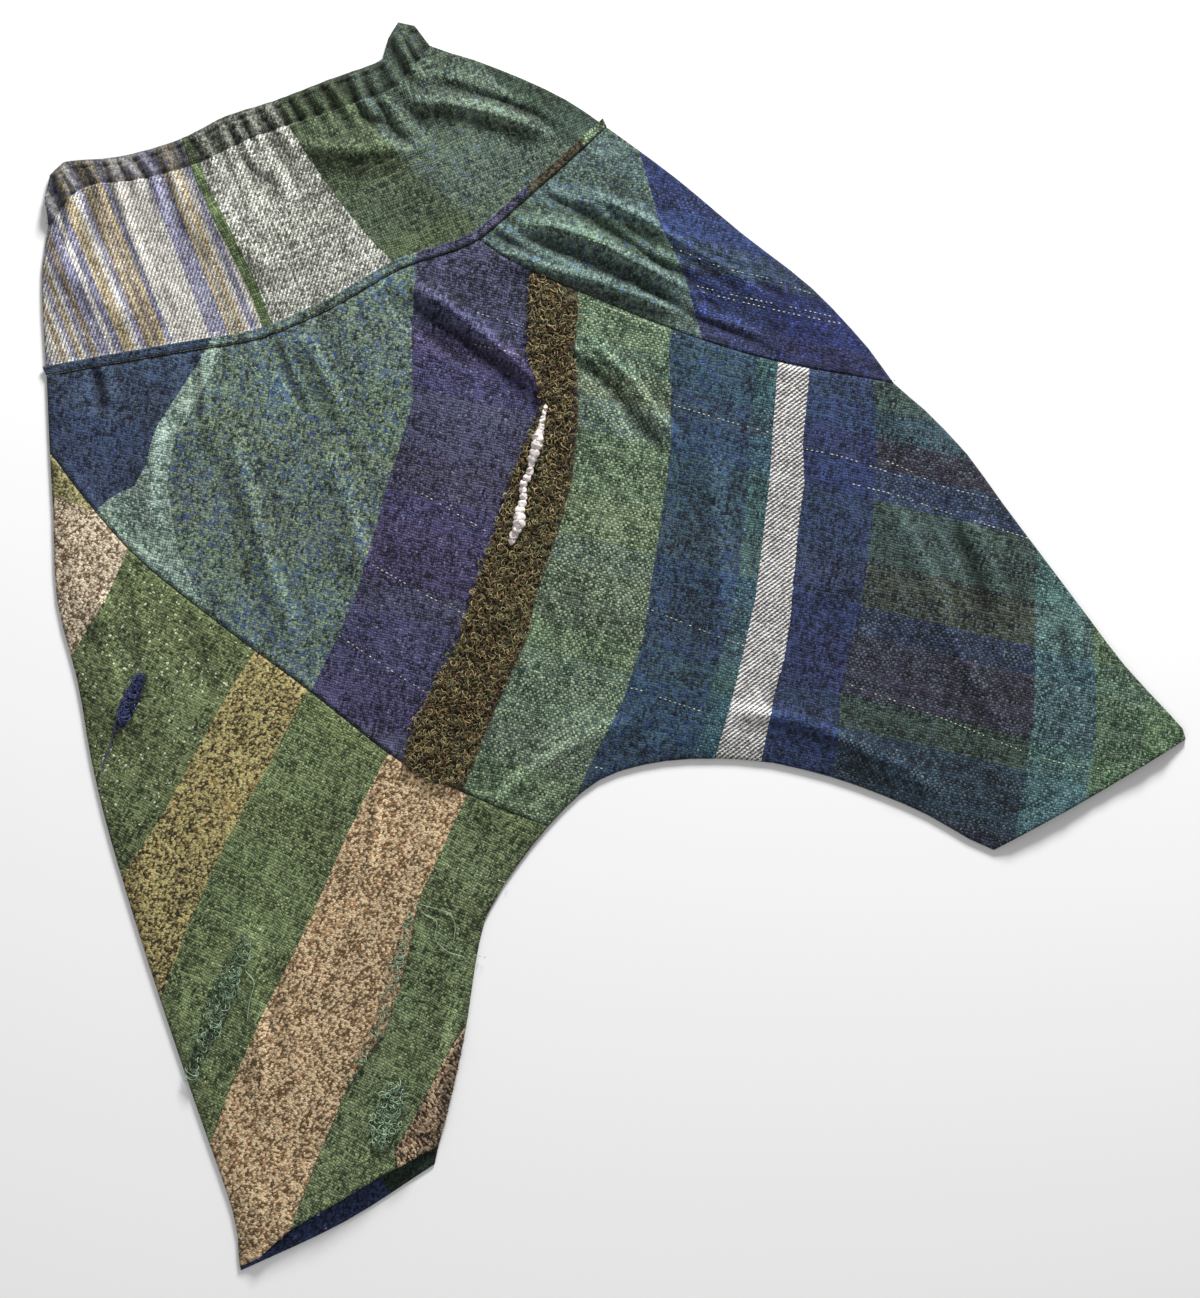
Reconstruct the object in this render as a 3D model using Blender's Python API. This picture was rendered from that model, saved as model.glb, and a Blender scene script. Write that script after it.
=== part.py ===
"""Cropped baggy trousers in handwoven striped cloth, laid flat on their back.

The part lies in the XY plane with the waist towards +Y and the front facing +Z.
Tables give places as (across, down) in millimetres: across grows to the viewer's
right of the waist's middle, and down grows from the waist towards the hems.
"""

import math
import random
from collections import namedtuple

import bmesh
import bpy
import numpy as np
from mathutils import Vector
from mathutils.bvhtree import BVHTree

MM = 0.001

# Cloth and layers, in millimetres like every size below. The waist's middle lies MIDDLE_DOWN above
# the origin. The front's outer side is EDGE_TOP high at the sides and BODY_TOP high inside them.
MIDDLE_DOWN = 428.5
CLOTH = 1.6
SEAM_GAP = 0.3
BACK_TOP = CLOTH
EDGE_TOP = BACK_TOP + SEAM_GAP + CLOTH
BODY_TOP = 6.5
SIDE_ROUND = 22.0

# The waist's casing: wall, height of its valleys, and rise of a full crest above them.
CASING = 2.6
CASING_VALLEY = CASING + SEAM_GAP + CASING + 0.6
CASING_CREST = 4.0
CASING_ROUND = 9.0
CASING_EDGE = 0.35
CREST_SLANT = 0.15

# The raised welt along the yoke's lower edge and the doubled hem.
WELT_WIDTH = 6.5
WELT_RISE = 1.0
WELT_STEP = 1.5
HEM_DEPTH = 14.0
HEM_RISE = 0.8
HEM_STEP = 2.0

# Mesh: faces of the first lattice, and how far a face's middle may leave its corners' height.
LATTICE = 32.0
TOLERANCE = 1.15
OUTLINE_STEP = 22.0
CASING_STEP = 15.0
WAIST_STEP = 12.0
STRIP_STEP = 60.0
STRIP_LARGEST = 260.0
SNAP = 0.4
SAME_PLACE = 0.5
UPWARD = 0.3
SHARP_DEGREES = 50

# Gathers of the waist, uneven in place, length and rise.
GATHERS = 23
GATHER_SEED = 5
GATHER_RISE = 3.4
GATHER_RISES = (0.65, 1.15)
GATHER_JITTER = 0.22
GATHER_FAN = 0.0026
GATHER_SPREAD = 0.8
GATHER_SHORT = 22.0
GATHER_LONG = 95.0
GATHER_MARGIN = 8.0

# The gaping mouth of the left leg.
MOUTH_RISE = 7.0
MOUTH_LEFT = -448.0
MOUTH_RIGHT = -268.0
MOUTH_START = 785.0
MOUTH_END = 858.0

# Outline of the laid garment, as knots of smooth lines.
WAIST_TOP = [(-172, -4), (-163, -15), (-147, -19), (-104, -1), (-53, 10), (-11, 11), (33, 19),
             (82, 25), (129, 31), (141, 18), (155, 10), (166, 19)]
CASING_SEAM = [(-184, 21), (-142, 8), (-100, 24), (-50, 35), (0, 38), (50, 46), (100, 54),
               (130, 57), (150, 48), (169, 39)]
LEFT_SIDE = [(-172, -4), (-184, 21), (-205, 50), (-223, 84), (-245, 132), (-273, 190), (-294, 235),
             (-326, 302), (-343, 370), (-365, 437), (-382, 504), (-402, 605), (-422, 722),
             (-438, 823), (-450, 856), (-456, 871)]
RIGHT_SIDE = [(166, 19), (169, 39), (196, 67), (225, 101), (249, 134), (268, 170), (299, 235),
              (326, 302), (356, 370), (374, 437), (379, 473), (391, 504), (405, 554), (412, 605),
              (430, 722), (438, 773), (451, 823), (456, 843), (454, 852)]
ARCH = [(-270, 869), (-260, 857), (-244, 840), (-214, 806), (-187, 773), (-162, 739), (-134, 706),
        (-107, 689), (-52, 664), (4, 650), (60, 662), (114, 689), (139, 706), (176, 739),
        (207, 773), (233, 806), (254, 840), (268, 858)]
FRONT_LEFT_HEM = [(-450, 856), (-400, 859), (-360, 860), (-310, 856), (-260, 857)]
BACK_LEFT_HEM = [(-456, 871), (-360, 876), (-270, 869)]
RIGHT_HEM = [(268, 858), (360, 857), (454, 852)]

# Seams between the panels.
YOKE_SEAM = [(-245, 132), (-178, 154), (-121, 173), (-73, 189), (-9, 195), (58, 193), (93, 199),
             (129, 203), (173, 193), (217, 183), (268, 170)]
LEG_SEAM = [(-273, 190), (-252, 293), (-214, 385), (-175, 468), (-136, 556), (-100, 606),
            (-52, 664)]
HIP_SEAM = [(129, 203), (140, 225), (163, 257), (185, 284), (240, 350), (301, 411), (379, 473)]
BACK_SEAM = [(0, 170), (2, 420), (4, 650)]
BACK_YOKE_SEAM = [(-245, 132), (-120, 158), (0, 170), (130, 172), (268, 170)]

# Folds: rise above the cloth around (troughs negative), widths to either side, and middle line.
FOLD_FADE_IN = 0.22
FOLD_FADE_OUT = 0.28
Fold = namedtuple("Fold", "name rise left right path")
FOLDS = [
    Fold("yoke bulge left", 4.2, 45, 45, [(-200, 40), (-175, 85), (-160, 130)]),
    Fold("yoke bulge middle", 4.8, 40, 50, [(-60, 60), (-45, 110), (-30, 160)]),
    Fold("yoke bulge green", 5.4, 22, 30, [(20, 52), (64, 84), (100, 102), (135, 118)]),
    Fold("yoke crease green", -2.6, 9, 12, [(86, 58), (106, 82), (116, 114)]),
    Fold("yoke roll", 5.8, 12, 26, [(120, 70), (160, 92), (194, 122), (228, 160)]),
    Fold("yoke valley right", -3.0, 10, 9, [(145, 62), (172, 84), (206, 116), (236, 160)]),
    Fold("pleat far left", -2.8, 7, 12, [(-204, 146), (-214, 166), (-222, 188)]),
    Fold("pleat left", -3.0, 7, 13, [(-126, 172), (-139, 202), (-152, 232)]),
    Fold("pleat centre", -3.0, 8, 14, [(-59, 192), (-65, 227), (-66, 270)]),
    Fold("ridge of pleat centre", 4.2, 14, 22, [(-40, 196), (-38, 235), (-44, 290)]),
    Fold("pleat purple", -3.0, 9, 14, [(38, 198), (46, 232), (62, 271), (72, 300)]),
    Fold("purple ridge", 6.7, 16, 15, [(60, 204), (84, 250), (106, 304), (124, 356)]),
    Fold("purple valley", -3.0, 11, 10, [(44, 211), (66, 246), (90, 290), (110, 345)]),
    Fold("hip ridge low", 5.8, 14, 13, [(135, 212), (168, 250), (208, 290), (262, 352)]),
    Fold("hip crease low", -3.0, 10, 9, [(149, 204), (185, 243), (214, 278), (262, 345)]),
    Fold("hip ridge middle", 7.0, 15, 14, [(160, 200), (206, 240), (240, 288), (286, 352)]),
    Fold("hip crease middle", -3.0, 10, 9, [(199, 204), (226, 240), (252, 292), (288, 369)]),
    Fold("hip ridge high", 6.1, 15, 14, [(220, 200), (256, 250), (292, 305), (330, 372)]),
    Fold("hip crease high", -2.8, 9, 11, [(263, 252), (289, 297), (310, 336), (346, 384)]),
    Fold("knee crease", -3.0, 9, 15, [(153, 318), (169, 366), (173, 404), (182, 444)]),
    Fold("knee ridge", 4.8, 16, 14, [(168, 312), (186, 366), (192, 412), (198, 448)]),
    Fold("right leg crease", -2.8, 10, 13, [(366, 600), (358, 655), (347, 700)]),
    Fold("right leg ridge", 4.2, 18, 18, [(384, 590), (378, 650), (366, 712)]),
    Fold("right hem fold", -2.6, 12, 14, [(408, 714), (396, 745), (382, 775)]),
    Fold("speckle fold left", 4.8, 20, 22, [(-170, 206), (-206, 250), (-228, 300)]),
    Fold("speckle fold middle", 4.8, 24, 22, [(-124, 238), (-146, 318), (-160, 402), (-170, 450)]),
    Fold("speckle fold right", 4.2, 26, 24, [(-66, 285), (-74, 360), (-92, 430)]),
    Fold("left thigh fold", 4.5, 24, 20, [(-284, 300), (-308, 370), (-334, 440)]),
    Fold("left thigh hollow", -2.6, 20, 16, [(-236, 352), (-241, 405), (-250, 450)]),
    Fold("left shin fold", 4.5, 26, 22, [(-300, 600), (-340, 690), (-372, 770)]),
    Fold("crotch fold left", 4.5, 24, 26, [(-120, 640), (-60, 618), (10, 612), (70, 622)]),
    Fold("crotch fold right", 4.5, 22, 24, [(110, 640), (170, 680), (226, 750), (262, 810)]),
    Fold("white stripe swell", 3.5, 34, 34, [(230, 430), (190, 520), (140, 620)]),
    Fold("right shin fold", 4.2, 26, 26, [(330, 520), (330, 620), (320, 720), (330, 800)]),
    Fold("inner leg roll", 5.1, 16, 12, [(-180, 752), (-214, 788), (-246, 826), (-268, 858)]),
]

# What lies on the panels, by the places of its two edges.
Section = namedtuple("Section", "left right")
SHAG_SECTIONS = [
    Section((153, 248), (179, 287)), Section((121, 306), (153, 323)), Section((110, 350), (135, 363)),
    Section((59, 391), (102, 414)), Section((25, 425), (69, 449)), Section((-11, 457), (34, 481)),
    Section((-46, 491), (2, 517)), Section((-109, 533), (-56, 562)), Section((-133, 559), (-81, 586)),
    Section((-121, 586), (-101, 597)),
]
SLIT_SECTIONS = [
    Section((-322, 624), (-318, 630)), Section((-352, 641), (-343, 657)), Section((-378, 661), (-366, 679)),
    Section((-398, 684), (-389, 694)), Section((-413, 699), (-410, 705)),
]
RIDGE_SECTIONS = [
    Section((-182, 664), (-178, 669)), Section((-209, 689), (-202, 698)), Section((-236, 718), (-228, 728)),
    Section((-264, 744), (-257, 753)), Section((-307, 774), (-304, 778)),
]
TUFT_SECTIONS = [
    Section((-269, 792), (-262, 798)), Section((-288, 801), (-270, 817)), Section((-302, 816), (-283, 831)),
    Section((-308, 833), (-301, 840)),
]
NAVY_SECTIONS = [
    Section((-295, 388), (-290, 392)), Section((-308, 396), (-300, 405)), Section((-320, 405), (-312, 415)),
    Section((-331, 419), (-327, 423)),
]
TURNED_SECTIONS = [
    Section((-192, 779), (-176, 790)), Section((-225, 797), (-205, 820)), Section((-262, 823), (-225, 855)),
    Section((-293, 842), (-240, 870)), Section((-300, 862), (-250, 880)),
]

# The thick and thin yarn on the shaggy strip.
Slub = namedtuple("Slub", "across down thick")
SLUBS = [
    Slub(113, 350, 2.6), Slub(107, 359, 3.4), Slub(101, 366, 5.0), Slub(94, 373, 8.0), Slub(87, 381, 7.0),
    Slub(80, 389, 4.6), Slub(73, 395, 5.6), Slub(65, 403, 4.8), Slub(58, 412, 6.0), Slub(50, 424, 8.4),
    Slub(42, 432, 6.4), Slub(32, 441, 5.0),
]
SLUB_ROUNDNESS = 2
SLUB_CLEAR = 7.0
SLUB_REACH = 0.6
SLUB_TURNS = 8

# Tapered locks that stand on the strips' backings.
Locks = namedtuple("Locks", "count height lean seed")
SHAG_LOCKS = Locks(100, 6.0, 2.6, 11)
SLIT_LOCKS = Locks(26, 4.0, 2.0, 12)
RIDGE_LOCKS = Locks(16, 2.6, 1.6, 13)
TUFT_LOCKS = Locks(18, 4.0, 2.2, 14)
NAVY_LOCKS = Locks(8, 4.0, 2.0, 15)
LOCK_LARGEST = 60.0
LOCK_SMALLEST = 7.0
LOCK_INSET = 0.15
LOCK_TAPERS = (0.8, 0.45)
LOCK_LEAN = 0.2
LOCK_RISES = (0.6, 1.2)
TRIM_LIFT = 0.3
TRIM_THICK = 1.2

# Base colours, linear.
GREEN = (0.075, 0.115, 0.045)
TEAL = (0.045, 0.085, 0.075)
NAVY = (0.022, 0.032, 0.10)
TWEED = (0.26, 0.27, 0.24)
BROWN = (0.085, 0.065, 0.03)
PINK_TAN = (0.34, 0.22, 0.14)
CREAM = (0.75, 0.70, 0.66)


def smooth_line(knots, spacing=OUTLINE_STEP):
    """Points about one spacing apart on the smooth line through the knots."""
    points = np.array(knots, dtype=float)
    ends = np.vstack([2 * points[0] - points[1], points, 2 * points[-1] - points[-2]])
    line = [points[0]]
    for before, start, end, after in zip(ends, ends[1:], ends[2:], ends[3:]):
        count = max(1, round(float(np.linalg.norm(end - start)) / spacing))
        for number in range(1, count + 1):
            t = number / count
            line.append(0.5 * (2 * start + (end - before) * t
                               + (2 * before - 5 * start + 4 * end - after) * t ** 2
                               + (3 * start - before - 3 * end + after) * t ** 3))
    return np.array(line)


def stretch(line, start, end):
    """The run of a line from its point nearest start to its point nearest end."""
    first, last = (int(np.argmin(np.hypot(*(line - place).T))) for place in (start, end))
    if first <= last:
        return line[first:last + 1]
    return line[last:first + 1][::-1]


def along_line(points, line):
    """For each point: its distance to the line, negative to the viewer's left of a line that runs
    down, and the share of the line's length at which it lies."""
    start, end = line[:-1], line[1:]
    run = end - start
    lengths = np.hypot(run[:, 0], run[:, 1])
    reach = points[:, None, :] - start[None]
    t = np.clip((reach * run).sum(2) / lengths ** 2, 0, 1)
    offset = reach - t[..., None] * run
    distance = np.hypot(offset[..., 0], offset[..., 1])
    nearest = distance.argmin(1)
    rows = np.arange(len(points))
    side = np.sign(run[nearest, 0] * reach[rows, nearest, 1] - run[nearest, 1] * reach[rows, nearest, 0])
    before = np.concatenate([[0], np.cumsum(lengths)])
    share = (before[nearest] + t[rows, nearest] * lengths[nearest]) / before[-1]
    return -side * distance[rows, nearest], share


def ease(value):
    value = np.clip(value, 0, 1)
    return value * value * (3 - 2 * value)


def hump(distance, left, right):
    """A rounded profile, 1 on the line and 0 at its left and right widths."""
    width = np.where(distance < 0, left, right)
    return 0.5 + 0.5 * np.cos(np.pi * np.clip(np.abs(distance) / width, 0, 1))


LEFT_EDGE = smooth_line(LEFT_SIDE)
RIGHT_EDGE = smooth_line(RIGHT_SIDE)
ARCH_EDGE = smooth_line(ARCH)
YOKE_LINE = smooth_line(YOKE_SEAM)
LEG_LINE = smooth_line(LEG_SEAM)
HIP_LINE = smooth_line(HIP_SEAM)
CASING_LINE = smooth_line(CASING_SEAM, CASING_STEP)
WAIST_LINE = smooth_line(WAIST_TOP, WAIST_STEP)
BACK_YOKE_LINE = smooth_line(BACK_YOKE_SEAM)
BACK_LINE = smooth_line(BACK_SEAM)
RIM_LINES = [LEFT_EDGE, RIGHT_EDGE, ARCH_EDGE]
FOLD_LINES = [smooth_line(fold.path) for fold in FOLDS]

Gather = namedtuple("Gather", "top foot width rise")


def lay_gathers():
    """Uneven gathers from the casing into the yoke, fanning out towards the hips."""
    chance = random.Random(GATHER_SEED)
    gathers = []
    first, last = CASING_SEAM[0][0] + GATHER_MARGIN, CASING_SEAM[-1][0] - GATHER_MARGIN
    pitch = (last - first) / (GATHERS - 1)
    for number in range(GATHERS):
        across = first + number * pitch + chance.uniform(-GATHER_JITTER, GATHER_JITTER) * pitch
        down = float(np.interp(across, CASING_LINE[:, 0], CASING_LINE[:, 1]))
        length = GATHER_SHORT + (GATHER_LONG - GATHER_SHORT) * chance.random() ** 2
        foot = (across + across * length * GATHER_FAN, down + length)
        gathers.append(Gather((across, down), foot, pitch / 2, chance.uniform(*GATHER_RISES)))
    return gathers


GATHER_ROWS = lay_gathers()


def casing_height(places):
    """Outer height of the front casing: a gathered band that rounds off at its top fold."""
    wave = np.zeros(len(places))
    for gather in GATHER_ROWS:
        slant = (places[:, 1] - gather.top[1]) * CREST_SLANT * math.sin(gather.top[0])
        distance = places[:, 0] - gather.top[0] - slant
        wave = np.maximum(wave, gather.rise * hump(distance, gather.width, gather.width))
    top = np.abs(along_line(places, WAIST_LINE)[0])
    sides = np.minimum(np.abs(places[:, 0] - WAIST_TOP[0][0]), np.abs(places[:, 0] - WAIST_TOP[-1][0]))
    rounding = ease(CASING_EDGE + (1 - CASING_EDGE) * np.minimum(top, sides) / CASING_ROUND)
    return CASING_VALLEY + CASING_CREST * wave * rounding


def front_height(places):
    """Outer height of the laid front at (across, down) places."""
    rim = np.min([np.abs(along_line(places, line)[0]) for line in RIM_LINES], axis=0)
    inner = ease(rim / SIDE_ROUND)
    relief = np.zeros(len(places))
    for fold, line in zip(FOLDS, FOLD_LINES):
        distance, share = along_line(places, line)
        fade = ease(share / FOLD_FADE_IN) * ease((1 - share) / FOLD_FADE_OUT)
        relief += fold.rise * fade * hump(distance, fold.left, fold.right)
    for gather in GATHER_ROWS:
        distance, share = along_line(places, np.array([gather.top, gather.foot]))
        width = gather.width * (1 + GATHER_SPREAD * share)
        relief += GATHER_RISE * gather.rise * ease(1 - share) * hump(distance, width, width)
    above_seam = along_line(places, YOKE_LINE)[0]
    relief += WELT_RISE * ease((WELT_WIDTH + WELT_STEP - above_seam) / WELT_STEP) * (above_seam > 0)
    across, down = places.T
    middle = (across - MOUTH_LEFT) / (MOUTH_RIGHT - MOUTH_LEFT)
    gape = np.sin(np.pi * np.clip(middle, 0, 1))
    relief += MOUTH_RISE * gape * ease((down - MOUTH_START) / (MOUTH_END - MOUTH_START))
    relief += HEM_RISE * ease((down - (MOUTH_END - HEM_DEPTH)) / HEM_STEP)
    return np.maximum(EDGE_TOP, EDGE_TOP + (BODY_TOP - EDGE_TOP + relief) * inner)


def outline_of(*runs):
    """One closed outline from runs of points, pulled in by half a seam gap."""
    points = np.vstack(runs)
    keep = [point for point, before in zip(points, np.roll(points, 1, axis=0))
            if np.hypot(*(point - before)) > SAME_PLACE]
    points = np.array(keep)
    before, after = np.roll(points, 1, axis=0), np.roll(points, -1, axis=0)
    area = float(np.sum(points[:, 0] * after[:, 1] - after[:, 0] * points[:, 1]))
    turn = 1 if area > 0 else -1

    def inward(run):
        normal = np.column_stack([-run[:, 1], run[:, 0]]) * turn
        return normal / np.hypot(run[:, 0], run[:, 1])[:, None]

    first, second = inward(points - before), inward(after - points)
    mitre = np.maximum(1 + (first * second).sum(1), 0.25)
    return points + (first + second) / mitre[:, None] * SEAM_GAP / 2


def flat_sheet(outline):
    """One flat face in the plan, facing up. Meshes are in millimetres until finish()."""
    sheet = bmesh.new()
    face = sheet.faces.new([sheet.verts.new((across, MIDDLE_DOWN - down, 0)) for across, down in outline])
    face.normal_update()
    if face.normal.z < 0:
        face.normal_flip()
    return sheet


def plan_of(verts):
    return np.array([(vert.co.x, MIDDLE_DOWN - vert.co.y) for vert in verts])


def centres_of(faces):
    middles = [face.calc_center_median() for face in faces]
    return np.array([(middle.x, MIDDLE_DOWN - middle.y) for middle in middles])


def cut_faces(sheet, faces, place, direction):
    """Cuts the faces along the upright plane that holds a place and a direction in the plan."""
    parts = list(faces)
    parts += list({edge for face in faces for edge in face.edges})
    parts += list({vert for face in faces for vert in face.verts})
    normal = (direction[1], direction[0], 0)
    point = (place[0], MIDDLE_DOWN - place[1], 0)
    made = bmesh.ops.bisect_plane(sheet, geom=parts, dist=SNAP, plane_co=point, plane_no=normal)
    return [part for part in made["geom"] if isinstance(part, bmesh.types.BMFace)]


def cut_lattice(sheet, outline):
    low, high = outline.min(0), outline.max(0)
    for across in np.arange(math.ceil(low[0] / LATTICE) * LATTICE, high[0], LATTICE):
        cut_faces(sheet, sheet.faces[:], (across, 0), (0, 1))
    for down in np.arange(math.ceil(low[1] / LATTICE) * LATTICE, high[1], LATTICE):
        cut_faces(sheet, sheet.faces[:], (0, down), (1, 0))


def cut_along(sheet, line, reach=1.0):
    """Cuts the sheet's faces under each straight run of a line."""
    for start, end in zip(line, line[1:]):
        low, high = np.minimum(start, end) - reach, np.maximum(start, end) + reach
        touched = []
        for face in sheet.faces:
            corners = plan_of(face.verts)
            if (corners.max(0) > low).all() and (corners.min(0) < high).all():
                touched.append(face)
        if touched:
            cut_faces(sheet, touched, start, end - start)


def refine(sheet, faces, height=None):
    """Splits faces in four: all of them, or where the height leaves their corners' plane."""
    if height is not None:
        middle = height(centres_of(faces))
        corners = np.array([height(plan_of(face.verts)).mean() for face in faces])
        faces = [face for face, miss in zip(faces, np.abs(middle - corners)) if miss > TOLERANCE]
    for face in faces:
        centre = centres_of([face])[0]
        halves = cut_faces(sheet, [face], centre, (0, 1))
        if halves:
            cut_faces(sheet, halves, centre, (1, 0))


def inside(places, outline):
    """Which places lie inside a closed outline."""
    across, down = places.T
    found = np.zeros(len(places), dtype=bool)
    for (x1, y1), (x2, y2) in zip(outline, np.roll(outline, -1, axis=0)):
        if y1 == y2:
            continue
        crosses = (y1 > down) != (y2 > down)
        found ^= crosses & (across < (x2 - x1) * (down - y1) / (y2 - y1) + x1)
    return found


def strip_outline(sections):
    """The outline of a strip from the smooth lines through the ends of its sections."""
    left = smooth_line([row.left for row in sections], STRIP_STEP)
    right = smooth_line([row.right for row in sections], STRIP_STEP)
    return np.vstack([left, right[::-1]])


def close_wall(sheet, height, thickness):
    """Sets the sheet's heights, then drops a copy of it by the thickness as the wall's inside."""
    bmesh.ops.triangulate(sheet, faces=sheet.faces[:])
    for vert, level in zip(sheet.verts[:], height(plan_of(sheet.verts))):
        vert.co.z = level
    add_inside(sheet, thickness)


def add_inside(sheet, thickness):
    made = bmesh.ops.extrude_face_region(sheet, geom=sheet.faces[:], use_keep_orig=True)
    lower = [part for part in made["geom"] if isinstance(part, bmesh.types.BMVert)]
    bmesh.ops.translate(sheet, verts=lower, vec=(0, 0, -thickness))
    bmesh.ops.recalc_face_normals(sheet, faces=sheet.faces[:])


def cloth_material(name, colour):
    material = bpy.data.materials.new(name)
    material.use_nodes = True
    shader = material.node_tree.nodes["Principled BSDF"]
    shader.inputs["Base Color"].default_value = (*colour, 1)
    shader.inputs["Roughness"].default_value = 0.9
    shader.inputs["Metallic"].default_value = 0.0
    material.diffuse_color = (*colour, 1)
    return material


def finish(name, sheet, colour, collection):
    """Makes the named object from a mesh in millimetres and frees the mesh."""
    bmesh.ops.scale(sheet, vec=(MM, MM, MM), verts=sheet.verts[:])
    mesh = bpy.data.meshes.new(name)
    sheet.to_mesh(mesh)
    sheet.free()
    mesh.materials.append(cloth_material(name, colour))
    mesh.shade_smooth()
    mesh.set_sharp_from_angle(angle=math.radians(SHARP_DEGREES))
    collection.objects.link(bpy.data.objects.new(name, mesh))


def make_front_panel(name, outline, colour, collection, lines=(), strips=()):
    """A front panel, cut along lines and round strips; returns a copy of each strip's faces."""
    sheet = flat_sheet(outline)
    cut_lattice(sheet, outline)
    for line in lines:
        cut_along(sheet, line)
    refine(sheet, sheet.faces[:], front_height)
    for edge in strips:
        cut_along(sheet, np.vstack([edge, edge[:1]]))
    for edge in strips:
        within = inside(centres_of(sheet.faces), edge)
        refine(sheet, [face for face, held in zip(sheet.faces[:], within)
                       if held and face.calc_area() > STRIP_LARGEST])
    bmesh.ops.triangulate(sheet, faces=sheet.faces[:])
    for vert, level in zip(sheet.verts[:], front_height(plan_of(sheet.verts))):
        vert.co.z = level
    shapes = []
    for edge in strips:
        copy = sheet.copy()
        within = inside(centres_of(copy.faces), edge)
        outer = [face for face, held in zip(copy.faces[:], within) if not held]
        bmesh.ops.delete(copy, geom=outer, context="FACES")
        shapes.append(copy)
    add_inside(sheet, CLOTH)
    finish(name, sheet, colour, collection)
    return shapes


def upper_faces(sheet, smallest):
    return [face for face in sheet.faces if face.normal.z > UPWARD and face.calc_area() > smallest]


def grow_locks(sheet, locks, keep_clear):
    """Pulls tapered three-sided locks out of a share of the strip's upper faces."""
    chance = random.Random(locks.seed)
    bmesh.ops.poke(sheet, faces=upper_faces(sheet, LOCK_LARGEST))
    roots = upper_faces(sheet, LOCK_SMALLEST)
    if keep_clear is not None:
        away = np.abs(along_line(centres_of(roots), keep_clear)[0]) > SLUB_CLEAR
        roots = [face for face, clear in zip(roots, away) if clear]
    for face in chance.sample(roots, min(locks.count, len(roots))):
        size = math.sqrt(face.calc_area())
        bmesh.ops.inset_individual(sheet, faces=[face], thickness=size * LOCK_INSET, use_even_offset=True)
        for taper in LOCK_TAPERS:
            face = bmesh.ops.extrude_discrete_faces(sheet, faces=[face])["faces"][0]
            middle = face.calc_center_median()
            angle = chance.uniform(0, 2 * math.pi)
            lean = min(locks.lean, size * LOCK_LEAN)
            rise = locks.height / len(LOCK_TAPERS) * chance.uniform(*LOCK_RISES)
            shift = Vector((lean * math.cos(angle), lean * math.sin(angle), rise))
            for vert in face.verts:
                vert.co = middle + (vert.co - middle) * taper + shift


def make_trim(name, sheet, colour, collection, locks=None, keep_clear=None):
    """A thin strip on a panel, made from the panel's own faces moved out, with locks on it."""
    bmesh.ops.translate(sheet, verts=sheet.verts[:], vec=(0, 0, TRIM_LIFT + TRIM_THICK))
    add_inside(sheet, TRIM_THICK)
    if locks:
        grow_locks(sheet, locks, keep_clear)
    finish(name, sheet, colour, collection)


def halfway(first, second, count=24):
    """The line midway between two lines that run the same way."""
    shares = np.linspace(0, 1, count)
    middle = np.zeros((count, 2))
    for line in (first, second):
        places = np.linspace(0, 1, len(line))
        middle += np.column_stack([np.interp(shares, places, line[:, axis]) for axis in (0, 1)]) / 2
    return middle


def make_casing(name, colour, collection, height):
    """One side of the waist's casing, cut at each gather's crest and valley."""
    sheet = flat_sheet(outline_of(WAIST_LINE, CASING_LINE[::-1]))
    if height is casing_height:
        crests = [gather.top[0] for gather in GATHER_ROWS]
        for across in crests + [(one + two) / 2 for one, two in zip(crests, crests[1:])]:
            cut_faces(sheet, sheet.faces[:], (across, 0), (0, 1))
        cut_along(sheet, halfway(WAIST_LINE, CASING_LINE))
    close_wall(sheet, height, CASING)
    finish(name, sheet, colour, collection)


def make_back_panel(name, outline, colour, collection):
    sheet = flat_sheet(outline)
    close_wall(sheet, lambda places: np.full(len(places), BACK_TOP), CLOTH)
    finish(name, sheet, colour, collection)


def gather_lines():
    """The crests and the valleys between them, from the casing into the yoke."""
    crests = [np.array([gather.top, gather.foot]) for gather in GATHER_ROWS]
    valleys = [(one + two) / 2 for one, two in zip(crests, crests[1:])]
    return crests + valleys


def make_slub(name, carrier, colour, collection):
    """The thick and thin yarn, lying on the shaggy strip's backing."""
    surface = BVHTree.FromBMesh(carrier)
    curve = bpy.data.curves.new(name, "CURVE")
    curve.dimensions = "3D"
    curve.bevel_depth = MM / 2
    curve.bevel_resolution = SLUB_ROUNDNESS
    curve.use_fill_caps = True
    spline = curve.splines.new("POLY")
    spline.points.add(len(SLUBS) - 1)
    for point, slub in zip(spline.points, SLUBS):
        under = []
        for turn in range(SLUB_TURNS):
            angle = turn * 2 * math.pi / SLUB_TURNS
            x = slub.across + slub.thick * SLUB_REACH * math.cos(angle)
            y = MIDDLE_DOWN - slub.down + slub.thick * SLUB_REACH * math.sin(angle)
            hit = surface.ray_cast(Vector((x, y, 100)), Vector((0, 0, -1)))[0]
            if hit:
                under.append(hit.z)
        level = max(under) + TRIM_LIFT + TRIM_THICK + SEAM_GAP + slub.thick / 2
        point.co = (slub.across * MM, (MIDDLE_DOWN - slub.down) * MM, level * MM, 1)
        point.radius = slub.thick
    curve.materials.append(cloth_material(name, colour))
    collection.objects.link(bpy.data.objects.new(name, curve))


def clear_scene():
    for old in list(bpy.data.objects):
        bpy.data.objects.remove(old, do_unlink=True)


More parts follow.
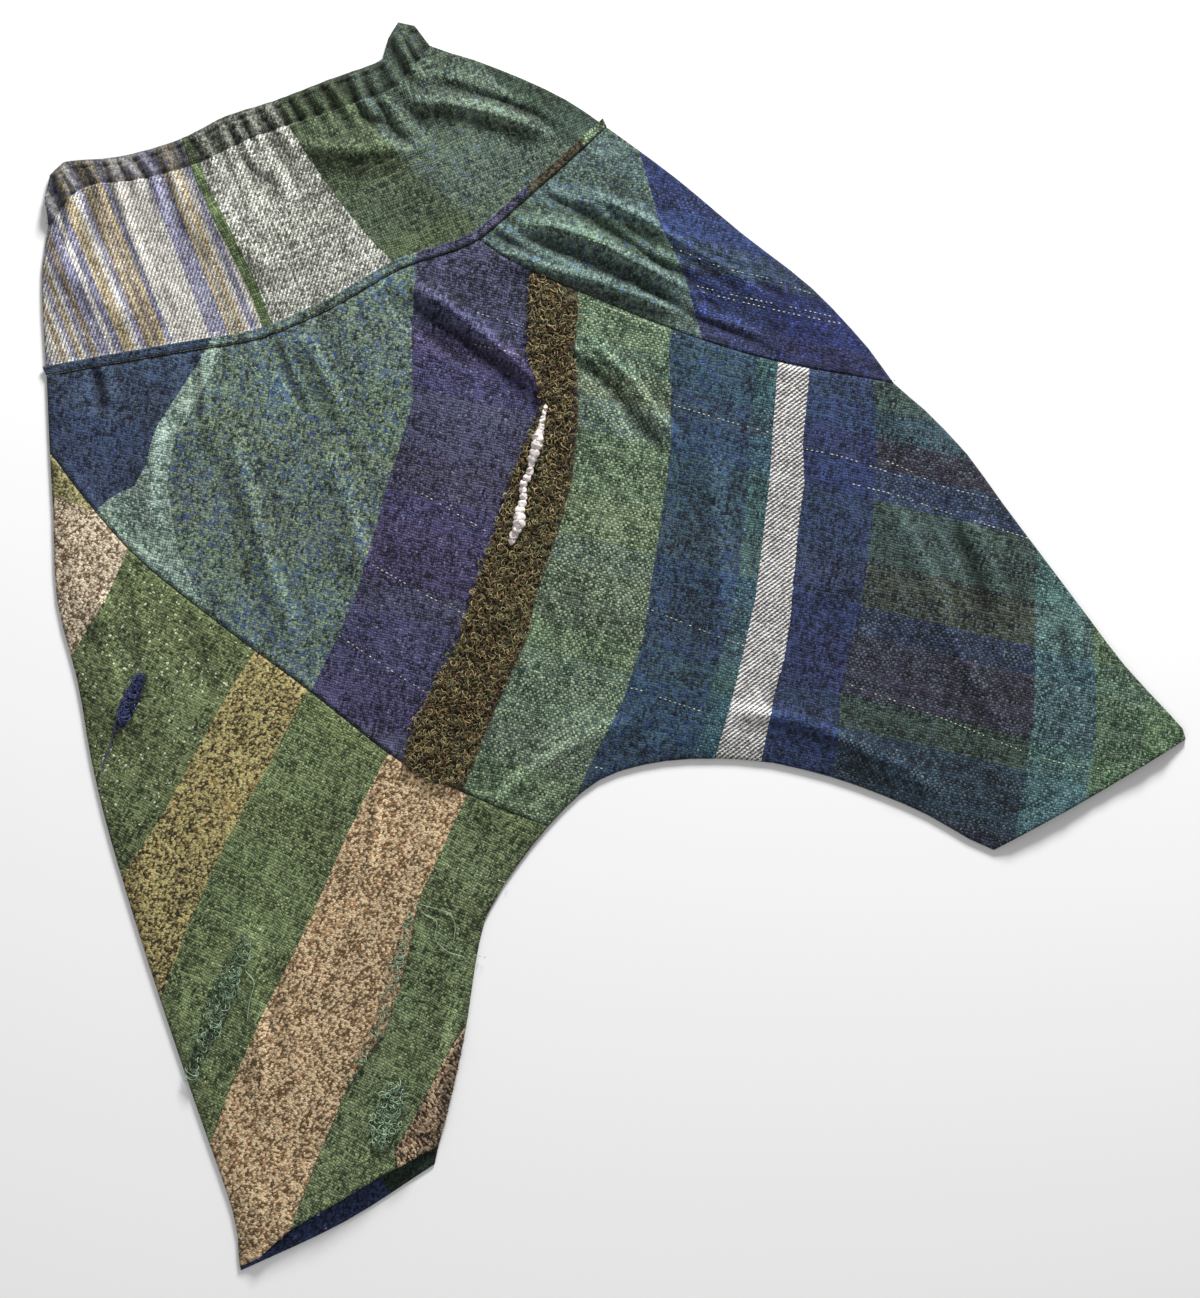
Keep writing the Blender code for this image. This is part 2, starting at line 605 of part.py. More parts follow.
def make_trousers():
    clear_scene()
    garment = bpy.data.collections.new("cropped_baggy_trousers")
    bpy.context.scene.collection.children.link(garment)

    back_yoke = outline_of(CASING_LINE, stretch(RIGHT_EDGE, (169, 39), (268, 170)), BACK_YOKE_LINE[::-1],
                           stretch(LEFT_EDGE, (-245, 132), (-184, 21)))
    back_left = outline_of(stretch(BACK_YOKE_LINE, (-245, 132), (0, 170)), BACK_LINE,
                           stretch(ARCH_EDGE, (4, 650), (-270, 869)), smooth_line(BACK_LEFT_HEM)[::-1],
                           stretch(LEFT_EDGE, (-456, 871), (-245, 132)))
    back_right = outline_of(stretch(BACK_YOKE_LINE, (0, 170), (268, 170)),
                            stretch(RIGHT_EDGE, (268, 170), (454, 852)), smooth_line(RIGHT_HEM)[::-1],
                            stretch(ARCH_EDGE, (268, 858), (4, 650)), BACK_LINE[::-1])
    make_casing("waistband_back", GREEN, garment, lambda places: np.full(len(places), CASING))
    make_back_panel("back_yoke", back_yoke, GREEN, garment)
    make_back_panel("back_left", back_left, NAVY, garment)
    make_back_panel("back_right", back_right, GREEN, garment)

    yoke = outline_of(CASING_LINE, stretch(RIGHT_EDGE, (169, 39), (268, 170)), YOKE_LINE[::-1],
                      stretch(LEFT_EDGE, (-245, 132), (-184, 21)))
    hip = outline_of(stretch(YOKE_LINE, (129, 203), (268, 170)), stretch(RIGHT_EDGE, (268, 170), (379, 473)),
                     HIP_LINE[::-1])
    body = outline_of(stretch(YOKE_LINE, (-245, 132), (129, 203)), HIP_LINE,
                      stretch(RIGHT_EDGE, (379, 473), (454, 852)), smooth_line(RIGHT_HEM)[::-1],
                      stretch(ARCH_EDGE, (268, 858), (-52, 664)), LEG_LINE[::-1],
                      stretch(LEFT_EDGE, (-273, 190), (-245, 132)))
    leg = outline_of(LEG_LINE, stretch(ARCH_EDGE, (-52, 664), (-260, 857)), smooth_line(FRONT_LEFT_HEM)[::-1],
                     stretch(LEFT_EDGE, (-450, 856), (-273, 190)))
    make_casing("waistband_front", TWEED, garment, casing_height)
    welt = YOKE_LINE - np.array((0, WELT_WIDTH))
    make_front_panel("front_yoke", yoke, TWEED, garment, gather_lines() + [welt])
    make_front_panel("front_right_hip", hip, NAVY, garment)
    shag, = make_front_panel("front_body", body, TEAL, garment, strips=[strip_outline(SHAG_SECTIONS)])
    sections = [SLIT_SECTIONS, RIDGE_SECTIONS, TUFT_SECTIONS, NAVY_SECTIONS, TURNED_SECTIONS]
    slit, ridge, tuft, navy, turned = make_front_panel("front_left_leg", leg, GREEN, garment,
                                                       strips=[strip_outline(rows) for rows in sections])
    slub_line = smooth_line([(slub.across, slub.down) for slub in SLUBS])
    make_slub("slub_yarn", shag, CREAM, garment)
    make_trim("shaggy_strip", shag, BROWN, garment, SHAG_LOCKS, slub_line)
    make_trim("frayed_slit", slit, GREEN, garment, SLIT_LOCKS)
    make_trim("frayed_ridge", ridge, GREEN, garment, RIDGE_LOCKS)
    make_trim("hem_tuft", tuft, GREEN, garment, TUFT_LOCKS)
    make_trim("navy_yarn", navy, NAVY, garment, NAVY_LOCKS)
    make_trim("leg_turned_edge", turned, PINK_TAN, garment)


make_trousers()
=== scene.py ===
import math
import random
from collections import namedtuple

import bmesh
import bpy
import numpy as np
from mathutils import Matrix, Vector, noise


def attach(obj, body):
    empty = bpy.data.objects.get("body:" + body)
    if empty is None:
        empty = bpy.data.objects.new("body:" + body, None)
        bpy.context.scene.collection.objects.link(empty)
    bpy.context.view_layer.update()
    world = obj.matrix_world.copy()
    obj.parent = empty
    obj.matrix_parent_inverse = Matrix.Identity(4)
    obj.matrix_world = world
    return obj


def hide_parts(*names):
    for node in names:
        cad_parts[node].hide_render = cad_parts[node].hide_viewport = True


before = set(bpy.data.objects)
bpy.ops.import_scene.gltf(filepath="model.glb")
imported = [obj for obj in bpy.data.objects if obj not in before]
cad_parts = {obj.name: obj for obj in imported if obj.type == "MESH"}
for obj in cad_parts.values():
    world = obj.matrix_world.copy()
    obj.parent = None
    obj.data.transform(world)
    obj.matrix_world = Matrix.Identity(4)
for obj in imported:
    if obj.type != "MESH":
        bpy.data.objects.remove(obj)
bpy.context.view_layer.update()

# The trousers lie on their back on a pale table top, under a bright low lamp at the upper right
# and a dim one opposite. They are seen from straight above, turned as they were laid.
VIEW_HEIGHT = 3.0
VIEW_TURN = math.radians(-28.16)
VIEW_MIDDLE = (0.0563, -0.1247)
VIEW_TALL = 1.090
SENSOR = 36.0
TABLE_SIZE = 8.0
TABLE_DROP = 0.0004

view = bpy.data.cameras.new("view from above")
view.sensor_width = SENSOR
view.lens = SENSOR * VIEW_HEIGHT / VIEW_TALL
view_object = bpy.data.objects.new("view from above", view)
view_object.location = (*VIEW_MIDDLE, VIEW_HEIGHT)
view_object.rotation_euler = (0, 0, VIEW_TURN)
bpy.context.scene.collection.objects.link(view_object)
bpy.context.scene.camera = view_object
bpy.context.scene.view_settings.view_transform = "Standard"


def hang_lamp(name, place, power, wide):
    """A square soft lamp that faces the middle of the trousers."""
    lamp = bpy.data.lights.new(name, "AREA")
    lamp.energy = power
    lamp.size = wide
    hung = bpy.data.objects.new(name, lamp)
    hung.location = place
    hung.rotation_euler = Vector(place).to_track_quat("Z", "Y").to_euler()
    bpy.context.scene.collection.objects.link(hung)


hang_lamp("window lamp", (1.75, 1.75, 1.2), 118.0, 0.7)
hang_lamp("far lamp", (-1.9, -0.6, 2.2), 10.0, 1.6)
room = bpy.data.worlds.new("pale room")
room.use_nodes = True
room.node_tree.nodes["Background"].inputs["Color"].default_value = (1, 1, 1, 1)
room.node_tree.nodes["Background"].inputs["Strength"].default_value = 0.34
bpy.context.scene.world = room

table_mesh = bpy.data.meshes.new("table top")
half = TABLE_SIZE / 2
table_mesh.from_pydata([(-half, -half, -TABLE_DROP), (half, -half, -TABLE_DROP), (half, half, -TABLE_DROP),
                        (-half, half, -TABLE_DROP)], [], [(0, 1, 2, 3)])
table = bpy.data.objects.new("table_top", table_mesh)
bpy.context.scene.collection.objects.link(table)
table_paint = bpy.data.materials.new("pale table paint")
table_paint.use_nodes = True
table_paint.node_tree.nodes["Principled BSDF"].inputs["Base Color"].default_value = (0.93, 0.93, 0.93, 1)
table_paint.node_tree.nodes["Principled BSDF"].inputs["Roughness"].default_value = 0.9
table_mesh.materials.append(table_paint)

# The back is cut from plain navy and green cloth: a yoke over two legs, joined by a middle seam.
# It lies flat under the front, so only its hem shows, inside the gaping left leg.
MM = 0.001
MIDDLE_DOWN = 428.5
SEAM_GAP = 0.3
CLOTH = 1.2
BACK_TOP = 1.6
OUTLINE_STEP = 22.0
SAME_PLACE = 0.5
BACK_PITCH = 6.0
LEFT_SIDE = [(-172, -4), (-184, 21), (-205, 50), (-223, 84), (-245, 132), (-273, 190), (-294, 235),
             (-326, 302), (-343, 370), (-365, 437), (-382, 504), (-402, 605), (-422, 722),
             (-438, 823), (-450, 856), (-456, 871)]
RIGHT_SIDE = [(166, 19), (169, 39), (196, 67), (225, 101), (249, 134), (268, 170), (299, 235),
              (326, 302), (356, 370), (374, 437), (379, 473), (391, 504), (405, 554), (412, 605),
              (430, 722), (438, 773), (451, 823), (456, 843), (454, 852)]
ARCH = [(-270, 869), (-260, 857), (-244, 840), (-214, 806), (-187, 773), (-162, 739), (-134, 706),
        (-107, 689), (-52, 664), (4, 650), (60, 662), (114, 689), (139, 706), (176, 739),
        (207, 773), (233, 806), (254, 840), (268, 858)]
CASING_SEAM = [(-184, 21), (-142, 8), (-100, 24), (-50, 35), (0, 38), (50, 46), (100, 54),
               (130, 57), (150, 48), (169, 39)]
BACK_YOKE_SEAM = [(-245, 132), (-120, 158), (0, 170), (130, 172), (268, 170)]
BACK_SEAM = [(0, 170), (2, 420), (4, 650)]
BACK_LEFT_HEM = [(-456, 871), (-360, 876), (-270, 869)]
RIGHT_HEM = [(268, 858), (360, 857), (454, 852)]
CASING_STEP = 15.0


def smooth_line(knots, spacing=OUTLINE_STEP):
    """Points about one spacing apart on the smooth line through the knots."""
    points = np.array(knots, dtype=float)
    ends = np.vstack([2 * points[0] - points[1], points, 2 * points[-1] - points[-2]])
    line = [points[0]]
    for before, start, end, after in zip(ends, ends[1:], ends[2:], ends[3:]):
        count = max(1, round(float(np.linalg.norm(end - start)) / spacing))
        for number in range(1, count + 1):
            t = number / count
            line.append(0.5 * (2 * start + (end - before) * t
                               + (2 * before - 5 * start + 4 * end - after) * t ** 2
                               + (3 * start - before - 3 * end + after) * t ** 3))
    return np.array(line)


def stretch(line, start, end):
    """The run of a line from its point nearest start to its point nearest end."""
    first, last = (int(np.argmin(np.hypot(*(line - place).T))) for place in (start, end))
    if first <= last:
        return line[first:last + 1]
    return line[last:first + 1][::-1]


def along_line(points, line):
    """For each point: its distance to the line, negative to the viewer's left of a line that runs
    down, the share of the line's length at which it lies, and the nearest place on the line."""
    start, end = line[:-1], line[1:]
    run = end - start
    lengths = np.hypot(run[:, 0], run[:, 1])
    reach = points[:, None, :] - start[None]
    t = np.clip((reach * run).sum(2) / lengths ** 2, 0, 1)
    offset = reach - t[..., None] * run
    distance = np.hypot(offset[..., 0], offset[..., 1])
    nearest = distance.argmin(1)
    rows = np.arange(len(points))
    side = np.sign(run[nearest, 0] * reach[rows, nearest, 1] - run[nearest, 1] * reach[rows, nearest, 0])
    before = np.concatenate([[0], np.cumsum(lengths)])
    share = (before[nearest] + t[rows, nearest] * lengths[nearest]) / before[-1]
    place = start[nearest] + t[rows, nearest][:, None] * run[nearest]
    return -side * distance[rows, nearest], share, place


def outline_of(*runs):
    """One closed outline from runs of points, pulled in by half a seam gap."""
    points = np.vstack(runs)
    keep = [point for point, before in zip(points, np.roll(points, 1, axis=0))
            if np.hypot(*(point - before)) > SAME_PLACE]
    points = np.array(keep)
    before, after = np.roll(points, 1, axis=0), np.roll(points, -1, axis=0)
    area = float(np.sum(points[:, 0] * after[:, 1] - after[:, 0] * points[:, 1]))
    turn = 1 if area > 0 else -1

    def inward(run):
        normal = np.column_stack([-run[:, 1], run[:, 0]]) * turn
        return normal / np.hypot(run[:, 0], run[:, 1])[:, None]

    first, second = inward(points - before), inward(after - points)
    mitre = np.maximum(1 + (first * second).sum(1), 0.25)
    return points + (first + second) / mitre[:, None] * SEAM_GAP / 2


def inside(places, outline):
    """Which places lie inside a closed outline."""
    across, down = places.T
    found = np.zeros(len(places), dtype=bool)
    for (x1, y1), (x2, y2) in zip(outline, np.roll(outline, -1, axis=0)):
        if y1 == y2:
            continue
        crosses = (y1 > down) != (y2 > down)
        found ^= crosses & (across < (x2 - x1) * (down - y1) / (y2 - y1) + x1)
    return found


def sharp_corners(outline, least=35):
    """The points where an outline turns by more than the least angle, in degrees."""
    before, after = outline - np.roll(outline, 1, axis=0), np.roll(outline, -1, axis=0) - outline
    turn = np.degrees(np.arctan2(before[:, 0] * after[:, 1] - before[:, 1] * after[:, 0],
                                 (before * after).sum(1)))
    return outline[np.abs(turn) > least]


def cut_lattice(outline, pitch):
    """Squares of cloth that fill an outline, with the border drawn out to it: places and faces."""
    low, high = outline.min(0) - pitch * 0.7, outline.max(0) + pitch
    columns, rows = np.arange(low[0], high[0], pitch), np.arange(low[1], high[1], pitch)
    grid = np.stack(np.meshgrid(columns, rows), axis=-1)
    centres = (grid[:-1, :-1] + grid[1:, 1:]) / 2
    keep = inside(centres.reshape(-1, 2), outline).reshape(centres.shape[:2])
    for _ in range(3):
        padded = np.pad(keep, 1).astype(int)
        beside = padded[:-2, 1:-1] + padded[2:, 1:-1] + padded[1:-1, :-2] + padded[1:-1, 2:]
        keep &= beside > 1
        keep[:-1, :-1] &= ~(keep[:-1, :-1] & keep[1:, 1:] & ~keep[1:, :-1] & ~keep[:-1, 1:])
        keep[1:, :-1] &= ~(keep[1:, :-1] & keep[:-1, 1:] & ~keep[:-1, :-1] & ~keep[1:, 1:])
    count = np.zeros(grid.shape[:2], dtype=int)
    for shift_row in (0, 1):
        for shift_column in (0, 1):
            count[shift_row:shift_row + keep.shape[0], shift_column:shift_column + keep.shape[1]] += keep
    border, inner = (count > 0) & (count < 4), count == 4
    edge = np.vstack([outline, outline[:1]])
    grid[border] = along_line(grid[border], edge)[2]
    rim = np.argwhere(border)
    for corner in sharp_corners(outline):
        row, column = rim[np.hypot(*(grid[border] - corner).T).argmin()]
        grid[row, column] = corner
    for _ in range(8):
        mean = (np.roll(grid, 1, 0) + np.roll(grid, -1, 0) + np.roll(grid, 1, 1) + np.roll(grid, -1, 1)) / 4
        grid[inner] = mean[inner]
    number = np.full(count.shape, -1)
    number[count > 0] = np.arange((count > 0).sum())
    corners = [number[:-1, :-1][keep], number[1:, :-1][keep], number[1:, 1:][keep], number[:-1, 1:][keep]]
    return grid[count > 0], np.column_stack(corners)


def to_world(places, heights):
    """World points, in metres, of (across, down) places and heights in millimetres."""
    return np.column_stack([places[:, 0], MIDDLE_DOWN - places[:, 1], heights]) * MM


def crest_share_for_wear_and_shade(places, heights, reach=9.0):
    """How far each place stands above the cloth around it: 1 on a sharp crest, 0 in a fold. It is
    painted into the cloth's colour: lighter on crests as wear and painted highlight, darker in folds as painted shade.
    """
    cells = {}
    keys = np.floor(places / reach).astype(int)
    for key, height in zip(map(tuple, keys), heights):
        total, number = cells.get(key, (0.0, 0))
        cells[key] = (total + height, number + 1)
    around = np.zeros(len(places))
    for index, (column, row) in enumerate(keys):
        total, number = 0.0, 0
        for near in ((column, row), (column - 1, row), (column + 1, row), (column, row - 1), (column, row + 1)):
            part, size = cells.get(near, (0.0, 0))
            total, number = total + part, number + size
        around[index] = total / number
    return np.clip(0.5 + (heights - around) / 2.4, 0, 1)


def make_cloth(name, places, faces, heights, material, grain, stripes=None, thick=CLOTH):
    """A thin sewn piece: its mesh, its weave's own coordinates and the number of each place's stripe."""
    mesh = bpy.data.meshes.new(name)
    mesh.from_pydata(to_world(places, heights).tolist(), [], faces.tolist())
    warp = np.array((math.cos(grain), math.sin(grain)))
    weft = np.array((-warp[1], warp[0]))
    flat = np.column_stack([places @ weft, places @ warp]) * MM
    layer = mesh.uv_layers.new(name="weave")
    corners = np.empty(len(mesh.loops), dtype=np.int32)
    mesh.loops.foreach_get("vertex_index", corners)
    layer.data.foreach_set("uv", flat[corners].astype(np.float32).ravel())
    if stripes is not None:
        mesh.attributes.new("stripe", "FLOAT", "POINT").data.foreach_set("value", stripes.astype(np.float32))
    # Crest height, painted into the colour: wear and painted highlight on crests, painted shade in folds.
    worn = crest_share_for_wear_and_shade(places, heights)
    mesh.attributes.new("worn", "FLOAT", "POINT").data.foreach_set("value", worn.astype(np.float32))
    mesh.shade_smooth()
    mesh.materials.append(material)
    piece = bpy.data.objects.new(name, mesh)
    bpy.context.scene.collection.objects.link(piece)
    shell = piece.modifiers.new("cloth", "SOLIDIFY")
    shell.thickness = thick * MM
    shell.offset = -1
    return piece


class Thread:
    """An output of a material's node, with Python's arithmetic and comparisons as Math nodes."""

    def __init__(self, tree, socket=None):
        self.tree = tree
        self.socket = socket

    def node(self, kind, settings, values, output=0):
        """Adds a node, makes its settings, then sets or links its sockets, and gives an output."""
        made = self.tree.nodes.new(kind)
        for setting, value in settings.items():
            if setting == "stops":
                ramp = made.color_ramp
                while len(ramp.elements) > 1:
                    ramp.elements.remove(ramp.elements[-1])
                ramp.elements[0].position, ramp.elements[0].color = value[0]
                for place, colour in value[1:]:
                    ramp.elements.new(place).color = colour
            elif setting == "steps":
                made.color_ramp.interpolation = value
            else:
                setattr(made, setting, value)
        for key, value in values.items():
            if isinstance(value, Thread):
                self.tree.links.new(value.socket, made.inputs[key])
            else:
                made.inputs[key].default_value = value
        return Thread(self.tree, made.outputs[output])

    def maths(self, operation, first, second):
        return self.node("ShaderNodeMath", {"operation": operation}, {0: first, 1: second})

    def __add__(self, other):
        return self.maths("ADD", self, other)

    def __sub__(self, other):
        return self.maths("SUBTRACT", self, other)

    def __rsub__(self, other):
        return self.maths("SUBTRACT", other, self)

    def __mul__(self, other):
        return self.maths("MULTIPLY", self, other)

    def __lt__(self, other):
        return self.maths("LESS_THAN", self, other)

    def __gt__(self, other):
        return self.maths("GREATER_THAN", self, other)

    __radd__ = __add__
    __rmul__ = __mul__

    def clamp(self):
        return self.node("ShaderNodeClamp", {}, {0: self})

    def between(self, first, second, blend="MIX"):
        """The first colour where this is 0, the second where it is 1."""
        return self.node("ShaderNodeMix", {"data_type": "RGBA", "blend_type": blend},
                         {0: self, 6: first, 7: second}, 2)

    def parts(self):
        """The three channels of this colour."""
        return [self.node("ShaderNodeSeparateColor", {}, {0: self}, channel) for channel in range(3)]


def dye(red, green, blue):
    """A linear colour from the shares of light that the eye sees on the cloth."""
    return tuple(((part + 0.055) / 1.055) ** 2.4 for part in (red, green, blue)) + (1.0,)


# A stripe of warp: its dark, light and odd yarns, the share of odd yarns, how coarse the yarn is,
# and how much of twill lines, of fine coloured lines and of the weft's colour shows.
Stripe = namedtuple("Stripe", "name dark light odd odds coarse twill lines weft",
                    defaults=(0.03, 0.0, 0.0, 0.0, 0.3))
THREADS = (500.0, 440.0)
COARSE_BEAD = (600.0, 430.0)
BEAD_SLANT = 0.55
EDGE_WANDER = 0.022
LINE_WIDTH = 1 / 230
LINE_DYES = [(0.0, dye(.54, .56, .74)), (0.20, dye(.94, .93, .90)), (0.42, dye(.76, .68, .48)),
             (0.56, dye(.54, .45, .36)), (0.68, dye(.88, .86, .82)), (0.82, dye(.50, .53, .72)),
             (0.92, dye(.66, .64, .58))]
TWILL = (1677.0, -1372.0)
TWILL_CROSS = (1001.0, 1920.0)


def weave_cloth(name, stripes, wefts, brightness_scale=1.0):
    """Hand-loomed cloth: crossing threads, or beads of coarse yarn, with dark, light and odd yarns in
    each stripe, each bead painted darker towards its rim as painted shade. A weft row is the place
    along the warp, in metres, where its colour starts."""
    cloth = bpy.data.materials.new(name)
    cloth.use_nodes = True
    shader = cloth.node_tree.nodes["Principled BSDF"]
    tree = Thread(cloth.node_tree)
    flat = tree.node("ShaderNodeUVMap", {"uv_map": "weave"}, {})
    across = tree.node("ShaderNodeSeparateXYZ", {}, {0: flat}, 0)
    along = tree.node("ShaderNodeSeparateXYZ", {}, {0: flat}, 1)
    wander = tree.node("ShaderNodeTexNoise", {}, {"Vector": flat, "Scale": 260.0, "Detail": 2.0})
    drift = tree.node("ShaderNodeTexNoise", {}, {"Vector": flat, "Scale": 90.0, "Detail": 2.0}, 1).parts()
    patchy = tree.node("ShaderNodeTexNoise", {}, {"Vector": flat, "Scale": 16.0, "Detail": 4.0})
    mottle = tree.node("ShaderNodeTexNoise", {}, {"Vector": flat, "Scale": 95.0, "Detail": 2.0})
    streaky = tree.node("ShaderNodeTexNoise", {}, {
        "Vector": tree.node("ShaderNodeMapping", {}, {"Vector": flat, "Scale": (420.0, 26.0, 1.0)}),
        "Scale": 1.0, "Detail": 2.0})
    number = len(stripes)
    where = tree.node("ShaderNodeAttribute", {"attribute_name": "stripe"}, {}, 2)
    where = (where + (wander - 0.5) * EDGE_WANDER * 2) * (1 / number)

    def banded(colours):
        stops = [(index / number, colour) for index, colour in enumerate(colours)]
        return tree.node("ShaderNodeValToRGB", {"stops": stops, "steps": "CONSTANT"}, {"Fac": where})

    odds, coarse, twill = banded([(row.odds, row.coarse, row.twill, 1) for row in stripes]).parts()
    lines, crossing, _ = banded([(row.lines, row.weft, 0, 1) for row in stripes]).parts()

    warp_place = across * THREADS[0] + drift[0] * 3.0
    weft_place = along * THREADS[1] + drift[1] * 3.0
    warp, weft = tree.maths("FLOOR", warp_place, 0.0), tree.maths("FLOOR", weft_place, 0.0)
    weft_up = tree.maths("PINGPONG", warp + weft, 1.0)
    knot = tree.node("ShaderNodeCombineXYZ", {}, {0: warp, 1: weft})
    crossings = tree.node("ShaderNodeTexWhiteNoise", {"noise_dimensions": "2D"}, {"Vector": knot}, 1)
    one_warp = tree.node("ShaderNodeTexWhiteNoise", {"noise_dimensions": "1D"}, {"W": warp})
    one_weft = tree.node("ShaderNodeTexWhiteNoise", {"noise_dimensions": "1D"}, {"W": weft})
    one_thread = one_warp * (1 - weft_up) + one_weft * weft_up
    warp_side, weft_side = warp_place - warp - 0.5, weft_place - weft - 0.5
    thread_edge = (warp_side * warp_side + weft_side * weft_side) * 2.0

    slanted = tree.node("ShaderNodeMapping", {}, {"Vector": flat, "Rotation": (0, 0, BEAD_SLANT)})
    sized = tree.node("ShaderNodeVectorMath", {"operation": "MULTIPLY"}, {0: slanted, 1: (*COARSE_BEAD, 1)})
    beads = [tree.node("ShaderNodeTexVoronoi", {"voronoi_dimensions": "2D"},
                       {"Vector": sized, "Scale": 1.0, "Randomness": 0.85}, output) for output in (1, 0)]
    chance, second, third = coarse.between(crossings, beads[0]).parts()
    chance = chance * 0.72 + (one_thread * (1 - coarse) + chance * coarse) * 0.28
    bead_edge_for_shade_and_bump = thread_edge * (1 - coarse) + beads[1] * coarse
    calm = 1 - coarse * 0.6
    # The rim of each thread bead is painted darker, as painted shade on the bead's rounded top.
    pale = ((chance - 0.5) * 1.7 + (0.4 - bead_edge_for_shade_and_bump) * 1.1 + (patchy - 0.5) * calm * 1.1
            + (mottle - 0.5) * calm * 0.8 + (streaky - 0.5) * calm * 0.7 + 0.47)
    yarn = pale.clamp().between(banded([row.dark for row in stripes]), banded([row.light for row in stripes]))

    line_pick = tree.node("ShaderNodeTexVoronoi", {"voronoi_dimensions": "1D"},
                          {"W": across * (1 / LINE_WIDTH) + (wander - 0.5) * 0.5, "Scale": 1.0}, 1).parts()[0]
    line_dye = tree.node("ShaderNodeValToRGB", {"stops": LINE_DYES, "steps": "CONSTANT"}, {"Fac": line_pick})
    yarn = (lines * (0.45 + chance * 0.8)).clamp().between(yarn, line_dye)

    first, last = wefts[0][0], wefts[-1][0] + 0.001
    stops = [((place - first) / (last - first), colour) for place, colour in wefts]
    height = (along - first + (wander - 0.5) * 0.004) * (1 / (last - first))
    band = tree.node("ShaderNodeValToRGB", {"stops": stops, "steps": "CONSTANT"}, {"Fac": height})
    shaded_band = (0.2 + pale * 0.75 + (one_weft - 0.5) * 0.3).clamp().between((0.0, 0.0, 0.0, 1.0), band)
    on_top = weft_up * (1 - coarse) + (second < 0.5) * coarse
    yarn = (crossing * (on_top * 1.5 + 0.25)).clamp().between(yarn, shaded_band)

    odd_yarn = (1 - third < odds * (patchy * 3.0 - 0.5)) * (0.9 - bead_edge_for_shade_and_bump * 0.5)
    yarn = odd_yarn.clamp().between(yarn, banded([row.odd for row in stripes]))

    ridge = tree.maths("SINE", across * TWILL[0] + along * TWILL[1] + drift[0] * 3.0, 0.0) * 0.5 + 0.5
    cross_ridge = tree.maths("SINE", across * TWILL_CROSS[0] + along * TWILL_CROSS[1], 0.0) * 0.5 + 0.5
    picks = tree.node("ShaderNodeTexNoise", {}, {
        "Vector": tree.node("ShaderNodeMapping", {}, {"Vector": flat, "Scale": (4.0, 36.0, 1.0)}), "Scale": 1.0})
    raised = ridge - (picks > 0.52) * cross_ridge * 0.5 + (chance - 0.5) * 0.45 + (picks - 0.5) * 0.9
    twill_shade = ((raised - 0.36) * 2.6 + 0.5).clamp().between((0.17, 0.16, 0.17, 1.0), (1.0, 1.0, 1.0, 1.0))
    yarn = twill.between(yarn, tree.node("ShaderNodeMix", {"data_type": "RGBA", "blend_type": "MULTIPLY"},
                                         {0: 1.0, 6: yarn, 7: twill_shade}, 2))

    # Painted light: folds darken the colour as painted shade, crests lighten it as wear and painted highlight, and the
    # brightness scale darkens a whole cloth.
    worn = tree.node("ShaderNodeAttribute", {"attribute_name": "worn"}, {}, 2)
    wear_and_shade_factor = (worn * 0.75 + 0.62 + (patchy - 0.5) * 0.3) * brightness_scale
    wear_and_shade_grey = tree.node("ShaderNodeCombineColor", {}, {0: wear_and_shade_factor, 1: wear_and_shade_factor, 2: wear_and_shade_factor})
    yarn = tree.node("ShaderNodeMix", {"data_type": "RGBA", "blend_type": "MULTIPLY"},
                     {0: 1.0, 6: yarn, 7: wear_and_shade_grey}, 2)
    cloth.node_tree.links.new(yarn.socket, shader.inputs["Base Color"])

    grain_height = (1 - bead_edge_for_shade_and_bump) * 0.75 + chance * 0.45 + twill * ridge * 0.8 + streaky * 0.3
    bump = tree.node("ShaderNodeBump", {}, {"Strength": 0.8, "Distance": 0.0012, "Height": grain_height})
    cloth.node_tree.links.new(bump.socket, shader.inputs["Normal"])
    rough_share = 0.82 + (chance - 0.5) * 0.16
    cloth.node_tree.links.new(rough_share.socket, shader.inputs["Roughness"])
    shader.inputs["Sheen Weight"].default_value = 0.08
    shader.inputs["Sheen Roughness"].default_value = 0.6
    shader.inputs["Specular IOR Level"].default_value = 0.2
    return cloth


LEFT_EDGE = smooth_line(LEFT_SIDE)
RIGHT_EDGE = smooth_line(RIGHT_SIDE)
ARCH_EDGE = smooth_line(ARCH)
CASING_LINE = smooth_line(CASING_SEAM, CASING_STEP)
BACK_YOKE_LINE = smooth_line(BACK_YOKE_SEAM)
BACK_LINE = smooth_line(BACK_SEAM)
RIM_LINES = [LEFT_EDGE, RIGHT_EDGE, ARCH_EDGE]


def number_stripes(places, borders, reach=60.0):
    """The number of the stripe that each place lies in, from the first border to the last, with
    the share of the stripe's width at which it lies."""
    distances = np.array([along_line(places, smooth_line(border, 40.0))[0] for border in borders])
    distances = distances.reshape(len(borders), len(places))
    passed = (distances > 0).sum(0)
    rows = np.arange(len(places))
    padded = np.vstack([np.full(len(places), np.inf), np.abs(distances), np.full(len(places), np.inf)])
    before, after = padded[passed, rows], padded[passed + 1, rows]
    before, after = np.minimum(before, reach), np.minimum(after, reach)
    return passed + before / (before + after)


def back_surface(places):
    """Outer height of the flat back, a little lower along its seams and sides."""
    rim = np.min([np.abs(along_line(places, line)[0]) for line in RIM_LINES + [BACK_LINE, BACK_YOKE_LINE]], axis=0)
    return BACK_TOP - 0.25 * np.exp(-(rim / 2.5) ** 2)


